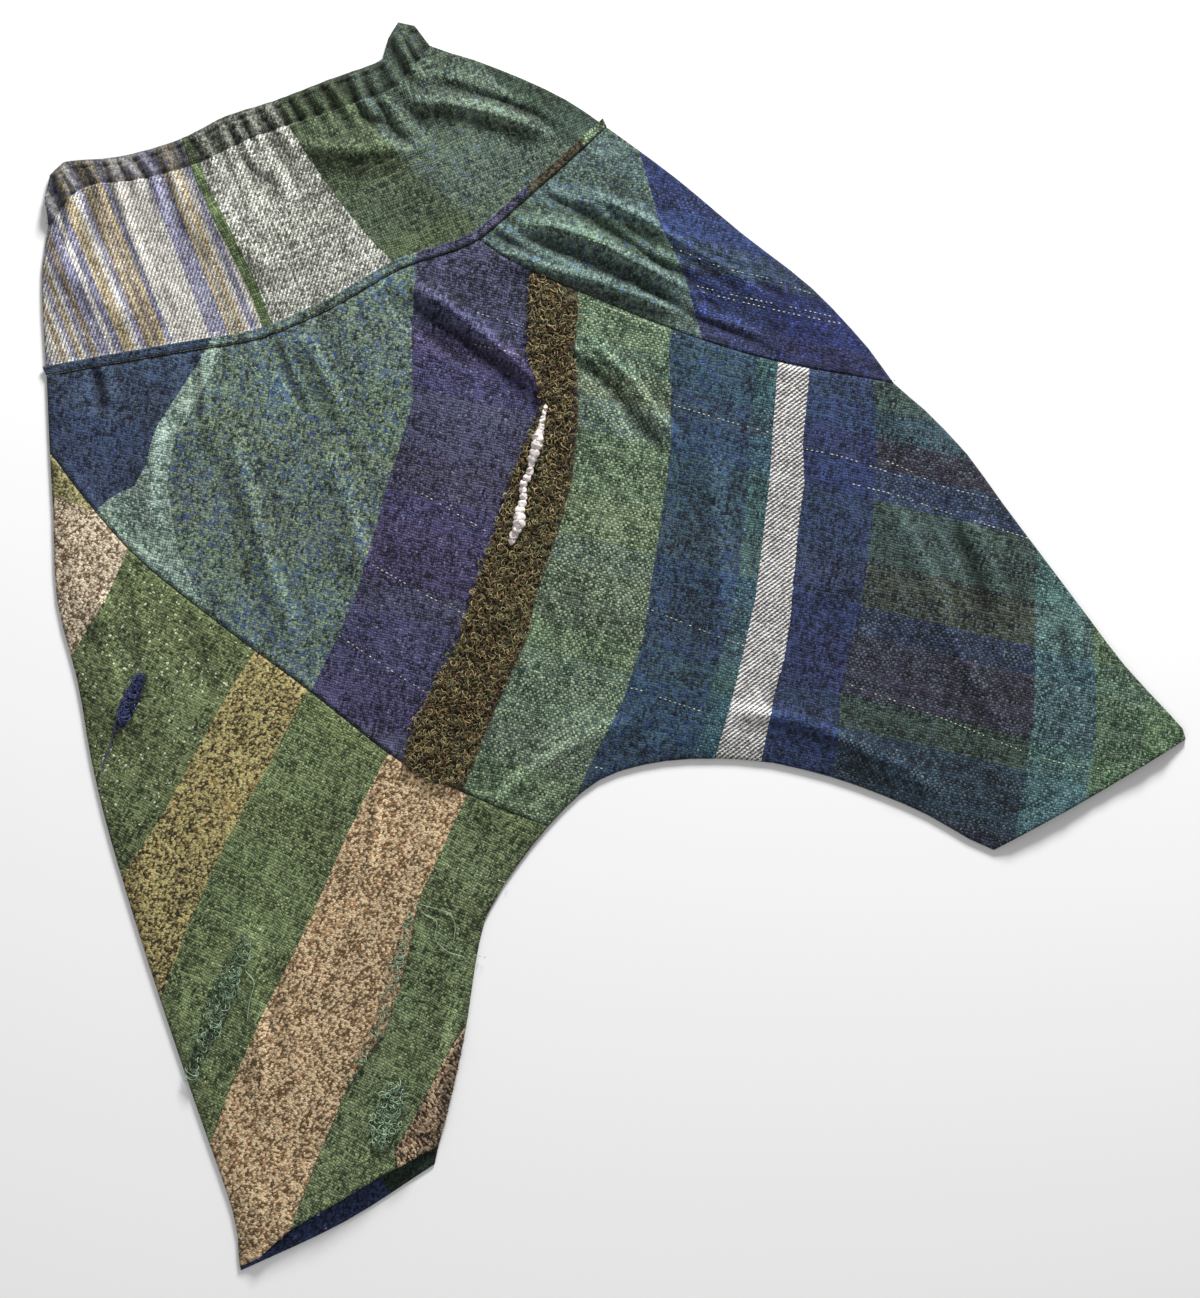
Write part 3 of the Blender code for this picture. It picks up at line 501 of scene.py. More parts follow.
navy_speckle = [Stripe("navy", dye(.05, .07, .14), dye(.24, .30, .48), dye(.70, .74, .84), 0.06, 0.5),
                Stripe("green end", dye(.05, .09, .05), dye(.20, .27, .16), dye(.30, .38, .26), 0.1, 0.3)]
NAVY_END = [(-306, 600), (-316, 920)]
plain_green = [Stripe("green", dye(.18, .24, .15), dye(.42, .48, .34), dye(.55, .60, .44), 0.04, 0.2)]
back_wefts = [(-1.0, dye(.16, .22, .30)), (-0.2, dye(.20, .28, .26)), (0.1, dye(.16, .19, .32)),
              (0.3, dye(.22, .28, .22)), (0.5, dye(.14, .20, .28))]
back_navy = weave_cloth("navy speckled cloth", navy_speckle, back_wefts)
back_green = weave_cloth("green back cloth", plain_green, back_wefts)
BACK_GRAIN = math.radians(118)
back_pieces = [
    ("back_yoke_cloth", "back_yoke", back_green, "green_cloth", (0.53, 0.17), 0.060, [
        CASING_LINE, stretch(RIGHT_EDGE, (169, 39), (268, 170)), BACK_YOKE_LINE[::-1],
        stretch(LEFT_EDGE, (-245, 132), (-184, 21))]),
    ("back_left_leg_cloth", "back_left", back_navy, "navy_cloth", (0.47, 0.76), 0.236, [
        stretch(BACK_YOKE_LINE, (-245, 132), (0, 170)), BACK_LINE, stretch(ARCH_EDGE, (4, 650), (-270, 869)),
        smooth_line(BACK_LEFT_HEM)[::-1], stretch(LEFT_EDGE, (-456, 871), (-245, 132))]),
    ("back_right_leg_cloth", "back_right", back_green, "green_cloth", (0.47, 0.71), 0.230, [
        stretch(BACK_YOKE_LINE, (0, 170), (268, 170)), stretch(RIGHT_EDGE, (268, 170), (454, 852)),
        smooth_line(RIGHT_HEM)[::-1], stretch(ARCH_EDGE, (268, 858), (4, 650)), BACK_LINE[::-1]]),
]
for name, node, material, slot, flat_size, flat_area, runs in back_pieces:
    places, faces = cut_lattice(outline_of(*runs), BACK_PITCH)
    back = make_cloth(name, places, faces, back_surface(places), material, BACK_GRAIN,
                      number_stripes(places, [NAVY_END] if material == back_navy else []), BACK_TOP - 0.3)
    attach(back, "root")
    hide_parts(node)

# The front is one wide panel of striped cloth cut on the slant, with creases pressed into it where
# it is pleated into the yoke. Its folds are soft, uneven troughs and ridges laid by hand.
EDGE_TOP = 3.5
BODY_TOP = 6.5
SIDE_ROUND = 22.0
WELT_WIDTH = 8.0
WELT_RISE = 1.0
WELT_STEP = 1.5
HEM_DEPTH = 14.0
HEM_RISE = 0.8
HEM_STEP = 2.0
GATHERS = 23
GATHER_SEED = 5
GATHER_RISE = 4.4
GATHER_RISES = (0.65, 1.15)
GATHER_JITTER = 0.22
GATHER_FAN = 0.0026
GATHER_SPREAD = 0.8
GATHER_SHORT = 22.0
GATHER_LONG = 95.0
GATHER_MARGIN = 8.0
MOUTH_RISE = 7.0
MOUTH_LEFT = -448.0
MOUTH_RIGHT = -268.0
MOUTH_START = 785.0
MOUTH_END = 858.0
YOKE_SEAM = [(-245, 132), (-178, 154), (-121, 173), (-73, 189), (-9, 195), (58, 193), (93, 199),
             (129, 203), (173, 193), (217, 183), (268, 170)]
LEG_SEAM = [(-273, 190), (-252, 293), (-214, 385), (-175, 468), (-136, 556), (-100, 606),
            (-52, 664)]
HIP_SEAM = [(129, 203), (140, 225), (163, 257), (185, 284), (240, 350), (301, 411), (379, 473)]
FOLD_FADE_IN = 0.22
FOLD_FADE_OUT = 0.28
Fold = namedtuple("Fold", "name rise left right path")
FOLDS = [
    Fold("yoke bulge left", 4.2, 45, 45, [(-200, 40), (-175, 85), (-160, 130)]),
    Fold("yoke bulge middle", 4.8, 40, 50, [(-60, 60), (-45, 110), (-30, 160)]),
    Fold("yoke bulge green", 5.4, 22, 30, [(20, 52), (64, 84), (100, 102), (135, 118)]),
    Fold("yoke crease green", -2.6, 9, 12, [(86, 58), (106, 82), (116, 114)]),
    Fold("yoke roll", 5.8, 12, 26, [(120, 70), (160, 92), (194, 122), (228, 160)]),
    Fold("yoke valley right", -3.0, 10, 9, [(145, 62), (172, 84), (206, 116), (236, 160)]),
    Fold("pleat far left", -2.8, 7, 12, [(-204, 146), (-214, 166), (-222, 188)]),
    Fold("pleat left", -3.0, 7, 13, [(-126, 172), (-139, 202), (-152, 232)]),
    Fold("pleat centre", -3.0, 8, 14, [(-59, 192), (-65, 227), (-66, 270)]),
    Fold("ridge of pleat centre", 4.2, 14, 22, [(-40, 196), (-38, 235), (-44, 290)]),
    Fold("pleat purple", -3.0, 9, 14, [(38, 198), (46, 232), (62, 271), (72, 300)]),
    Fold("purple ridge", 6.7, 16, 15, [(60, 204), (84, 250), (106, 304), (124, 356)]),
    Fold("purple valley", -3.0, 11, 10, [(44, 211), (66, 246), (90, 290), (110, 345)]),
    Fold("hip ridge low", 5.8, 14, 13, [(135, 212), (168, 250), (208, 290), (262, 352)]),
    Fold("hip crease low", -3.0, 10, 9, [(149, 204), (185, 243), (214, 278), (262, 345)]),
    Fold("hip ridge middle", 7.0, 15, 14, [(160, 200), (206, 240), (240, 288), (286, 352)]),
    Fold("hip crease middle", -3.0, 10, 9, [(199, 204), (226, 240), (252, 292), (288, 369)]),
    Fold("hip ridge high", 6.1, 15, 14, [(220, 200), (256, 250), (292, 305), (330, 372)]),
    Fold("hip crease high", -2.8, 9, 11, [(263, 252), (289, 297), (310, 336), (346, 384)]),
    Fold("knee crease", -3.0, 9, 15, [(153, 318), (169, 366), (173, 404), (182, 444)]),
    Fold("knee ridge", 4.8, 16, 14, [(168, 312), (186, 366), (192, 412), (198, 448)]),
    Fold("right leg crease", -2.8, 10, 13, [(366, 600), (358, 655), (347, 700)]),
    Fold("right leg ridge", 4.2, 18, 18, [(384, 590), (378, 650), (366, 712)]),
    Fold("right hem fold", -2.6, 12, 14, [(408, 714), (396, 745), (382, 775)]),
    Fold("speckle fold left", 4.8, 20, 22, [(-170, 206), (-206, 250), (-228, 300)]),
    Fold("speckle fold middle", 4.8, 24, 22, [(-124, 238), (-146, 318), (-160, 402), (-170, 450)]),
    Fold("speckle fold right", 4.2, 26, 24, [(-66, 285), (-74, 360), (-92, 430)]),
    Fold("left thigh fold", 4.5, 24, 20, [(-284, 300), (-308, 370), (-334, 440)]),
    Fold("left thigh hollow", -2.6, 20, 16, [(-236, 352), (-241, 405), (-250, 450)]),
    Fold("left shin fold", 4.5, 26, 22, [(-300, 600), (-340, 690), (-372, 770)]),
    Fold("crotch fold left", 4.5, 24, 26, [(-120, 640), (-60, 618), (10, 612), (70, 622)]),
    Fold("crotch fold right", 4.5, 22, 24, [(110, 640), (170, 680), (226, 750), (262, 810)]),
    Fold("white stripe swell", 3.5, 34, 34, [(230, 430), (190, 520), (140, 620)]),
    Fold("right shin fold", 4.2, 26, 26, [(330, 520), (330, 620), (320, 720), (330, 800)]),
    Fold("inner leg roll", 5.1, 16, 12, [(-180, 752), (-214, 788), (-246, 826), (-268, 858)]),
]
# Narrow pressed creases: depth, width and line.
Crease = namedtuple("Crease", "depth width path")
CREASES = [
    Crease(3.6, 3.4, [(190, 188), (206, 210), (223, 229), (228, 250), (238, 274), (263, 305), (280, 334), (300, 372)]),
    Crease(3.2, 3.6, [(236, 272), (241, 318), (263, 352), (291, 385), (312, 421)]),
    Crease(3.0, 3.0, [(140, 198), (160, 232), (182, 262), (204, 290)]),
    Crease(2.4, 3.4, [(262, 256), (283, 290), (304, 319), (318, 332), (344, 346)]),
    Crease(3.2, 3.2, [(146, 312), (157, 340), (171, 380), (183, 444)]),
    Crease(2.2, 3.4, [(368, 600), (364, 640), (361, 670), (344, 699)]),
    Crease(3.0, 3.2, [(56, 204), (61, 233), (73, 258), (93, 288), (102, 316)]),
    Crease(2.8, 3.0, [(-60, 194), (-69, 230), (-69, 254), (-68, 276)]),
    Crease(2.8, 3.0, [(-126, 173), (-144, 209), (-156, 243)]),
    Crease(2.6, 3.0, [(-204, 146), (-209, 164), (-216, 184)]),
    Crease(2.4, 3.4, [(107, 58), (110, 88), (117, 112)]),
    Crease(2.2, 3.0, [(95, 52), (92, 66), (101, 88)]),
    Crease(2.4, 3.4, [(-168, 18), (-184, 44), (-203, 90)]),
    Crease(2.4, 3.6, [(-123, 20), (-129, 55), (-134, 90), (-136, 122)]),
    Crease(2.0, 3.6, [(-76, 30), (-84, 62), (-86, 100)]),
    Crease(2.0, 3.6, [(-20, 37), (-10, 66), (8, 92)]),
    Crease(1.6, 4.0, [(35, 486), (30, 531), (-1, 571)]),
    Crease(1.6, 4.0, [(125, 381), (127, 421), (137, 474)]),
    Crease(2.0, 3.6, [(389, 723), (379, 755), (377, 773)]),
    Crease(1.8, 4.0, [(-262, 300), (-276, 350), (-300, 400)]),
    Crease(1.6, 4.0, [(-150, 560), (-190, 600), (-222, 650)]),
    Crease(1.6, 4.0, [(150, 60), (182, 88), (214, 124), (232, 150)]),
]
FOLD_DEEPER = 1.4
CREASE_ROLL = 6.0
YOKE_LINE = smooth_line(YOKE_SEAM)
LEG_LINE = smooth_line(LEG_SEAM)
HIP_LINE = smooth_line(HIP_SEAM)
FOLD_LINES = [smooth_line(fold.path) for fold in FOLDS]
CREASE_LINES = [smooth_line(crease.path) for crease in CREASES]
Gather = namedtuple("Gather", "top foot width rise")


def ease(value):
    value = np.clip(value, 0, 1)
    return value * value * (3 - 2 * value)


def hump(distance, left, right):
    """A rounded profile, 1 on the line and 0 at its left and right widths."""
    width = np.where(distance < 0, left, right)
    return 0.5 + 0.5 * np.cos(np.pi * np.clip(np.abs(distance) / width, 0, 1))


def lay_gathers():
    """Uneven gathers from the casing into the yoke, fanning out towards the hips."""
    chance = random.Random(GATHER_SEED)
    gathers = []
    first, last = CASING_SEAM[0][0] + GATHER_MARGIN, CASING_SEAM[-1][0] - GATHER_MARGIN
    pitch = (last - first) / (GATHERS - 1)
    for number in range(GATHERS):
        across = first + number * pitch + chance.uniform(-GATHER_JITTER, GATHER_JITTER) * pitch
        down = float(np.interp(across, CASING_LINE[:, 0], CASING_LINE[:, 1]))
        length = GATHER_SHORT + (GATHER_LONG - GATHER_SHORT) * chance.random() ** 2
        foot = (across + across * length * GATHER_FAN, down + length)
        gathers.append(Gather((across, down), foot, pitch / 2, chance.uniform(*GATHER_RISES)))
    return gathers


def crumple(places, long, short, turn, seed):
    """Soft noise from -1 to 1, in dents that are long along one direction and short across it."""
    along = places @ np.array((math.cos(turn), math.sin(turn))) / long
    across = places @ np.array((-math.sin(turn), math.cos(turn))) / short
    return np.array([noise.noise(Vector((a, b, seed))) for a, b in zip(along, across)])


def near_line(places, line, reach):
    """Which places may lie within a reach of the line."""
    low, high = line.min(0) - reach, line.max(0) + reach
    return ((places > low) & (places < high)).all(1)


GATHER_ROWS = lay_gathers()
SEAM_DIP = 0.9
PUCKER_RISE = 1.5


def front_surface(places):
    """Outer height of the laid front: its folds, gathers, seams, hems and small creases."""
    rims = [np.abs(along_line(places, line)[0]) for line in RIM_LINES]
    rim = np.min(rims, axis=0)
    relief = np.zeros(len(places))
    for fold, line in zip(FOLDS, FOLD_LINES):
        near = near_line(places, line, max(fold.left, fold.right))
        distance, share, _ = along_line(places[near], line)
        fade = ease(share / FOLD_FADE_IN) * ease((1 - share) / FOLD_FADE_OUT)
        crest = 0.6 * hump(distance, fold.left, fold.right) + 0.4 * hump(distance, fold.left * 0.4, fold.right * 0.4)
        relief[near] += FOLD_DEEPER * fold.rise * fade * crest
    for crease, line in zip(CREASES, CREASE_LINES):
        near = near_line(places, line, 5 * CREASE_ROLL)
        distance, share, _ = along_line(places[near], line)
        fade = ease(share / 0.12) * ease((1 - share) / 0.4)
        roll = 0.8 * np.exp(-((distance - CREASE_ROLL) / CREASE_ROLL) ** 2)
        relief[near] -= crease.depth * fade * (np.exp(-np.abs(distance) / crease.width) - roll)
    for gather in GATHER_ROWS:
        line = np.array([gather.top, gather.foot])
        near = near_line(places, line, 2 * gather.width)
        distance, share, _ = along_line(places[near], line)
        width = gather.width * (1 + GATHER_SPREAD * share)
        relief[near] += GATHER_RISE * gather.rise * ease(1 - share) * hump(distance, width, width)
    yoke, yoke_share, _ = along_line(places, YOKE_LINE)
    relief += WELT_RISE * ease((WELT_WIDTH + WELT_STEP - yoke) / WELT_STEP) * (yoke > 0)
    pucker = np.array([noise.noise(Vector((share * 62, depth / 60, 3.0)))
                       for share, depth in zip(yoke_share, yoke)])
    relief += PUCKER_RISE * pucker * np.where(yoke < 0, ease((75 + yoke) / 75), ease((24 - yoke) / 24))
    relief += 1.5 * crumple(places, 120, 46, 2.2, 1.0) + 0.75 * crumple(places, 46, 20, 1.9, 2.0)
    relief += 0.6 * crumple(places, 19, 10, 2.4, 3.0) + 0.25 * crumple(places, 9, 7, 0.9, 4.0)
    for line in (YOKE_LINE, LEG_LINE, HIP_LINE):
        seam = np.abs(along_line(places, line)[0])
        relief -= SEAM_DIP * np.exp(-(seam / 1.7) ** 2)
    leg = along_line(places, LEG_LINE)[0]
    relief += 0.7 * ease((9 - leg) / 2) * (leg > 0)
    hip = along_line(places, HIP_LINE)[0]
    relief += 0.6 * ease((7 + hip) / 2) * (hip < 0)
    across, down = places.T
    middle = (across - MOUTH_LEFT) / (MOUTH_RIGHT - MOUTH_LEFT)
    gape = np.sin(np.pi * np.clip(middle, 0, 1))
    relief += MOUTH_RISE * gape * ease((down - MOUTH_START) / (MOUTH_END - MOUTH_START))
    relief += HEM_RISE * ease((down - (MOUTH_END - HEM_DEPTH)) / HEM_STEP)
    relief += 0.6 * ease((11 - rims[2]) / 2)
    lift = np.maximum(EDGE_TOP, EDGE_TOP + (BODY_TOP - EDGE_TOP + relief) * ease(rim / SIDE_ROUND))
    return lift - 0.75 * np.exp(-(rim / 1.6) ** 2)


BODY_GRAIN = math.radians(132)
BODY_PITCH = 2.6
BODY_BORDERS = [
    [(-125, 181), (-160, 200), (-186, 215), (-209, 239), (-224, 247), (-249, 245), (-272, 252)],
    [(-100, 176), (-145, 208), (-178, 229), (-202, 260), (-220, 313), (-222, 350), (-226, 405)],
    [(80, 180), (41, 241), (14, 294), (-36, 343), (-102, 412), (-177, 469), (-215, 497)],
    [(170, 215), (121, 306), (110, 350), (59, 391), (25, 425), (-11, 457), (-46, 491), (-66, 505),
     (-109, 533), (-136, 557), (-173, 590)],
    [(208, 232), (153, 323), (135, 363), (102, 414), (69, 449), (34, 481), (2, 517), (-17, 531),
     (-56, 562), (-84, 585), (-121, 618)],
    [(256, 310), (224, 358), (190, 425), (125, 515), (90, 562), (51, 599), (5, 631), (-36, 663)],
    [(305, 372), (277, 415), (248, 461), (214, 515), (183, 559), (155, 593), (135, 613), (84, 671), (56, 705)],
    [(319, 385), (293, 423), (264, 469), (247, 496), (210, 549), (191, 576), (177, 592), (151, 622),
     (129, 646), (98, 678), (69, 712)],
    [(341, 396), (316, 436), (286, 481), (272, 510), (252, 538), (226, 577), (206, 608), (188, 632),
     (165, 656), (132, 697), (103, 730)],
    [(375, 435), (333, 525), (270, 618), (240, 651), (219, 676), (190, 721), (155, 770)],
    [(410, 505), (367, 596), (311, 691), (260, 768), (215, 832)],
    [(445, 610), (405, 675), (348, 776), (295, 846), (259, 893)],
    [(462, 650), (433, 723), (388, 814), (356, 855), (322, 898)],
    [(474, 725), (440, 807), (412, 850), (380, 890)],
]
BODY_STRIPES = [
    Stripe("navy corner", dye(.04, .06, .14), dye(.28, .35, .46), dye(.24, .28, .50), 0.14, 0.4, 0, 0, 0.15),
    Stripe("green band", dye(.24, .34, .32), dye(.68, .76, .70), dye(.66, .72, .55), 0.06, 0.3, 0, 0, 0.2),
    Stripe("speckle", dye(.10, .15, .13), dye(.54, .62, .52), dye(.20, .30, .50), 0.30, 0.5, 0, 0, 0.25),
    Stripe("purple", dye(.05, .04, .13), dye(.34, .32, .47), dye(.46, .46, .56), 0.06, 0.1, 0, 0, 0.24),
    # The under-pile stripe is dark: the backing's brown and painted shade in the gaps between the pile's locks.
    Stripe("under pile", dye(.11, .08, .04), dye(.36, .33, .24), dye(.42, .40, .30), 0.10, 0.8, 0, 0, 0.1),
    Stripe("green", dye(.18, .27, .19), dye(.58, .66, .52), dye(.66, .74, .60), 0.05, 0.1, 0, 0, 0.42),
    Stripe("blue speckle", dye(.02, .06, .12), dye(.27, .38, .46), dye(.16, .22, .46), 0.20, 0.4, 0, 0, 0.25),
    Stripe("teal", dye(.07, .17, .22), dye(.32, .46, .48), dye(.42, .62, .70), 0.05, 0.1, 0, 0, 0.4),
    Stripe("white twill", dye(.74, .73, .72), dye(.90, .90, .89), dye(.95, .92, .84), 0.05, 0.0, 1, 0, 0.0),
    Stripe("navy", dye(.02, .04, .12), dye(.23, .29, .46), dye(.26, .28, .52), 0.10, 0.3, 0, 0, 0.22),
    Stripe("plaid", dye(.06, .09, .13), dye(.32, .38, .42), dye(.40, .46, .50), 0.04, 0.1, 0, 0, 0.70),
    Stripe("plaid right", dye(.06, .09, .12), dye(.32, .38, .40), dye(.40, .46, .50), 0.04, 0.1, 0, 0, 0.70),
    Stripe("plaid teal", dye(.09, .20, .21), dye(.40, .54, .54), dye(.50, .66, .68), 0.05, 0.1, 0, 0, 0.35),
    Stripe("green by the hem", dye(.14, .23, .15), dye(.46, .57, .45), dye(.60, .68, .55), 0.05, 0.1, 0, 0, 0.3),
    Stripe("green end", dye(.17, .26, .16), dye(.48, .60, .44), dye(.60, .66, .55), 0.04, 0.1, 0, 0, 0.25),
]
BODY_WEFTS = [
    (-0.30, dye(.26, .34, .27)), (0.02, dye(.30, .34, .25)), (0.06, dye(.28, .38, .32)), (0.121, dye(.22, .34, .38)),
    (0.143, dye(.24, .20, .27)), (0.168, dye(.16, .22, .38)), (0.195, dye(.27, .36, .30)),
    (0.245, dye(.33, .35, .26)), (0.283, dye(.16, .20, .34)), (0.307, dye(.24, .20, .28)),
    (0.357, dye(.26, .34, .26)), (0.387, dye(.16, .25, .33)), (0.440, dye(.22, .23, .33)),
    (0.480, dye(.28, .36, .28)), (0.52, dye(.17, .25, .33)), (0.57, dye(.27, .33, .27)),
]
striped_cloth = weave_cloth("striped body cloth", BODY_STRIPES, BODY_WEFTS)
body_outline = outline_of(stretch(YOKE_LINE, (-245, 132), (129, 203)), HIP_LINE,
                          stretch(RIGHT_EDGE, (379, 473), (454, 852)), smooth_line(RIGHT_HEM)[::-1],
                          stretch(ARCH_EDGE, (268, 858), (-52, 664)), LEG_LINE[::-1],
                          stretch(LEFT_EDGE, (-273, 190), (-245, 132)))
places, faces = cut_lattice(body_outline, BODY_PITCH)
body = make_cloth("front_body_cloth", places, faces, front_surface(places), striped_cloth, BODY_GRAIN,
                  number_stripes(places, BODY_BORDERS))
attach(body, "root")
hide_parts("front_body")

# The right hip is a wedge of green and indigo cloth that is drawn into the side of the yoke seam,
# so deep folds fan out from its inner corner.
HIP_PITCH = 2.0
HIP_BORDERS = [
    [(284, 150), (282, 201), (268, 263), (267, 307), (255, 360), (250, 385)],
    [(350, 300), (331, 334), (313, 358), (301, 413), (296, 440)],
]
HIP_STRIPES = [
    Stripe("green hip", dye(.17, .23, .20), dye(.46, .55, .48), dye(.28, .38, .62), 0.10, 0.4, 0, 0, 0.30),
    Stripe("blue hip", dye(.05, .09, .18), dye(.24, .30, .48), dye(.30, .36, .66), 0.12, 0.3, 0, 0, 0.45),
    Stripe("indigo hip", dye(.05, .07, .18), dye(.21, .25, .46), dye(.26, .32, .66), 0.10, 0.4, 0, 0, 0.45),
]
HIP_WEFTS = [(-0.20, dye(.20, .28, .24)), (-0.045, dye(.16, .21, .42)), (-0.02, dye(.15, .17, .34)),
             (0.0, dye(.18, .26, .44)), (0.02, dye(.26, .34, .30)), (0.045, dye(.14, .18, .36)),
             (0.08, dye(.24, .22, .30)), (0.11, dye(.20, .28, .30))]
hip_cloth = weave_cloth("hip cloth", HIP_STRIPES, HIP_WEFTS)
hip_outline = outline_of(stretch(YOKE_LINE, (129, 203), (268, 170)), stretch(RIGHT_EDGE, (268, 170), (379, 473)),
                         HIP_LINE[::-1])
places, faces = cut_lattice(hip_outline, HIP_PITCH)
hip = make_cloth("right_hip_cloth", places, faces, front_surface(places), hip_cloth, BODY_GRAIN,
                 number_stripes(places, HIP_BORDERS))
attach(hip, "root")
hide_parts("front_right_hip")

# The lower left leg is cut from green, olive and pink-tan stripes and sewn under the body's edge.
# Its open hem gapes, so the front stands up from the back there.
LEG_PITCH = 2.4
LEG_GRAIN = math.radians(145)
FRONT_LEFT_HEM = [(-455, 868), (-436, 868), (-404, 860), (-360, 858), (-310, 856), (-260, 857)]
LEG_BORDERS = [
    [(-228, 266), (-250, 255), (-267, 246), (-283, 227), (-328, 206)],
    [(-222, 275), (-253, 291), (-291, 321), (-332, 344), (-384, 371)],
    [(-160, 396), (-190, 413), (-234, 437), (-278, 466), (-337, 505), (-383, 529), (-433, 559)],
    [(-130, 447), (-179, 468), (-232, 505), (-289, 541), (-355, 591), (-399, 630), (-455, 671)],
    [(-110, 528), (-151, 553), (-201, 588), (-266, 639), (-327, 682), (-393, 733), (-419, 757), (-477, 802)],
    [(-61, 581), (-102, 609), (-142, 639), (-182, 669), (-238, 721), (-300, 773), (-350, 813),
     (-384, 842), (-423, 879)],
]
LEG_STRIPES = [
    Stripe("olive tweed", dye(.24, .22, .12), dye(.72, .70, .50), dye(.74, .72, .50), 0.10, 0.6, 0, 0, 0.0),
    Stripe("pink-tan tweed", dye(.34, .26, .18), dye(.90, .84, .73), dye(.56, .40, .28), 0.16, 0.75, 0, 0, 0.0),
    Stripe("flecked green", dye(.12, .16, .08), dye(.50, .55, .38), dye(.82, .86, .72), 0.11, 0.3, 0, 0, 0.2),
    Stripe("olive", dye(.17, .14, .07), dye(.74, .69, .47), dye(.58, .45, .26), 0.14, 0.8, 0, 0, 0.0),
    Stripe("green", dye(.18, .24, .13), dye(.54, .60, .42), dye(.66, .72, .52), 0.04, 0.1, 0, 0, 0.3),
    Stripe("pink-tan", dye(.34, .26, .16), dye(.86, .76, .61), dye(.62, .44, .28), 0.12, 0.9, 0, 0, 0.0),
    Stripe("hem green", dye(.15, .20, .11), dye(.52, .58, .42), dye(.62, .68, .50), 0.05, 0.1, 0, 0, 0.3),
]
LEG_WEFTS = [(-0.40, dye(.38, .44, .28)), (0.40, dye(.34, .38, .22)), (0.44, dye(.40, .46, .32)),
             (0.50, dye(.33, .33, .20)), (0.54, dye(.38, .45, .30)), (0.62, dye(.32, .36, .22)),
             (0.66, dye(.40, .46, .32)), (0.74, dye(.34, .36, .24)), (0.80, dye(.30, .36, .26))]
leg_cloth = weave_cloth("left leg cloth", LEG_STRIPES, LEG_WEFTS)
leg_outline = outline_of(LEG_LINE, stretch(ARCH_EDGE, (-52, 664), (-260, 857)), smooth_line(FRONT_LEFT_HEM)[::-1],
                         stretch(LEFT_EDGE, (-456, 871), (-273, 190))[1:])
places, faces = cut_lattice(leg_outline, LEG_PITCH)
leg = make_cloth("left_leg_cloth", places, faces, front_surface(places), leg_cloth, LEG_GRAIN,
                 number_stripes(places, LEG_BORDERS))
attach(leg, "root")
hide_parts("front_left_leg")

# The front yoke joins a patch of fine coloured lines, a grey and white tweed and a green cloth.
# It is sewn to the body and right hip below, and its sides join the back at the outer seams.
YOKE_PITCH = 2.0
YOKE_GRAIN = math.radians(96)
YOKE_BORDERS = [
    [(-50, -40), (-50, 2), (-51, 11), (-58, 55), (-59, 102), (-61, 149), (-66, 189), (-70, 230)],
    [(-43, -40), (-43, 2), (-44, 11), (-51, 55), (-52, 102), (-54, 149), (-59, 189), (-63, 230)],
    [(36, -40), (35, 24), (33, 37), (35, 76), (42, 127), (50, 165), (60, 194), (69, 230)],
    [(90, -40), (92, 40), (98, 90), (108, 130), (126, 170), (140, 230)],
    [(190, -40), (196, 60), (206, 100), (222, 140), (236, 190)],
]
YOKE_STRIPES = [
    Stripe("fine lines", dye(.40, .36, .32), dye(.96, .94, .90), dye(.96, .95, .92), 0.14, 0.3, 0.75, 0.7, 0.0),
    Stripe("green thread", dye(.22, .29, .17), dye(.46, .52, .36), dye(.50, .60, .40), 0.05, 0.1, 0, 0, 0.1),
    Stripe("white tweed", dye(.42, .43, .39), dye(.90, .91, .86), dye(.30, .30, .26), 0.12, 0.3, 0.75, 0, 0.0),
    Stripe("green yoke", dye(.12, .16, .10), dye(.40, .46, .34), dye(.52, .56, .42), 0.05, 0.2, 0, 0, 0.3),
    Stripe("blue-grey yoke", dye(.13, .18, .16), dye(.44, .51, .44), dye(.30, .38, .50), 0.12, 0.3, 0, 0, 0.3),
    Stripe("dark green yoke", dye(.08, .13, .10), dye(.28, .36, .30), dye(.32, .40, .46), 0.06, 0.2, 0, 0, 0.3),
]
YOKE_WEFTS = [(-0.30, dye(.27, .33, .22)), (0.05, dye(.24, .28, .22)), (0.08, dye(.29, .35, .25)),
              (0.11, dye(.26, .32, .30)), (0.16, dye(.32, .38, .26))]
yoke_cloth = weave_cloth("yoke cloth", YOKE_STRIPES, YOKE_WEFTS)
yoke_outline = outline_of(CASING_LINE, stretch(RIGHT_EDGE, (169, 39), (268, 170)), YOKE_LINE[::-1],
                          stretch(LEFT_EDGE, (-245, 132), (-184, 21)))
places, faces = cut_lattice(yoke_outline, YOKE_PITCH)
yoke = make_cloth("front_yoke_cloth", places, faces, front_surface(places), yoke_cloth, YOKE_GRAIN,
                  number_stripes(places, YOKE_BORDERS))
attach(yoke, "root")
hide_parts("front_yoke")

# The waist is a casing over elastic, gathered into narrow uneven pipes that fold over at the top.
# Its front and back are one doubled band, closed along the top fold.
CASING = 2.6
CASING_VALLEY = CASING + SEAM_GAP + CASING + 0.6
CASING_CREST = 5.2
CASING_ROUND = 9.0
CASING_EDGE = 0.35
CREST_SLANT = 0.15
CASING_PITCH = 1.2
WAIST_TOP = [(-172, -4), (-163, -15), (-147, -19), (-104, -1), (-53, 10), (-11, 11), (33, 19),
             (82, 25), (129, 31), (141, 18), (155, 10), (166, 19)]
WAIST_STEP = 12.0
WAIST_LINE = smooth_line(WAIST_TOP, WAIST_STEP)


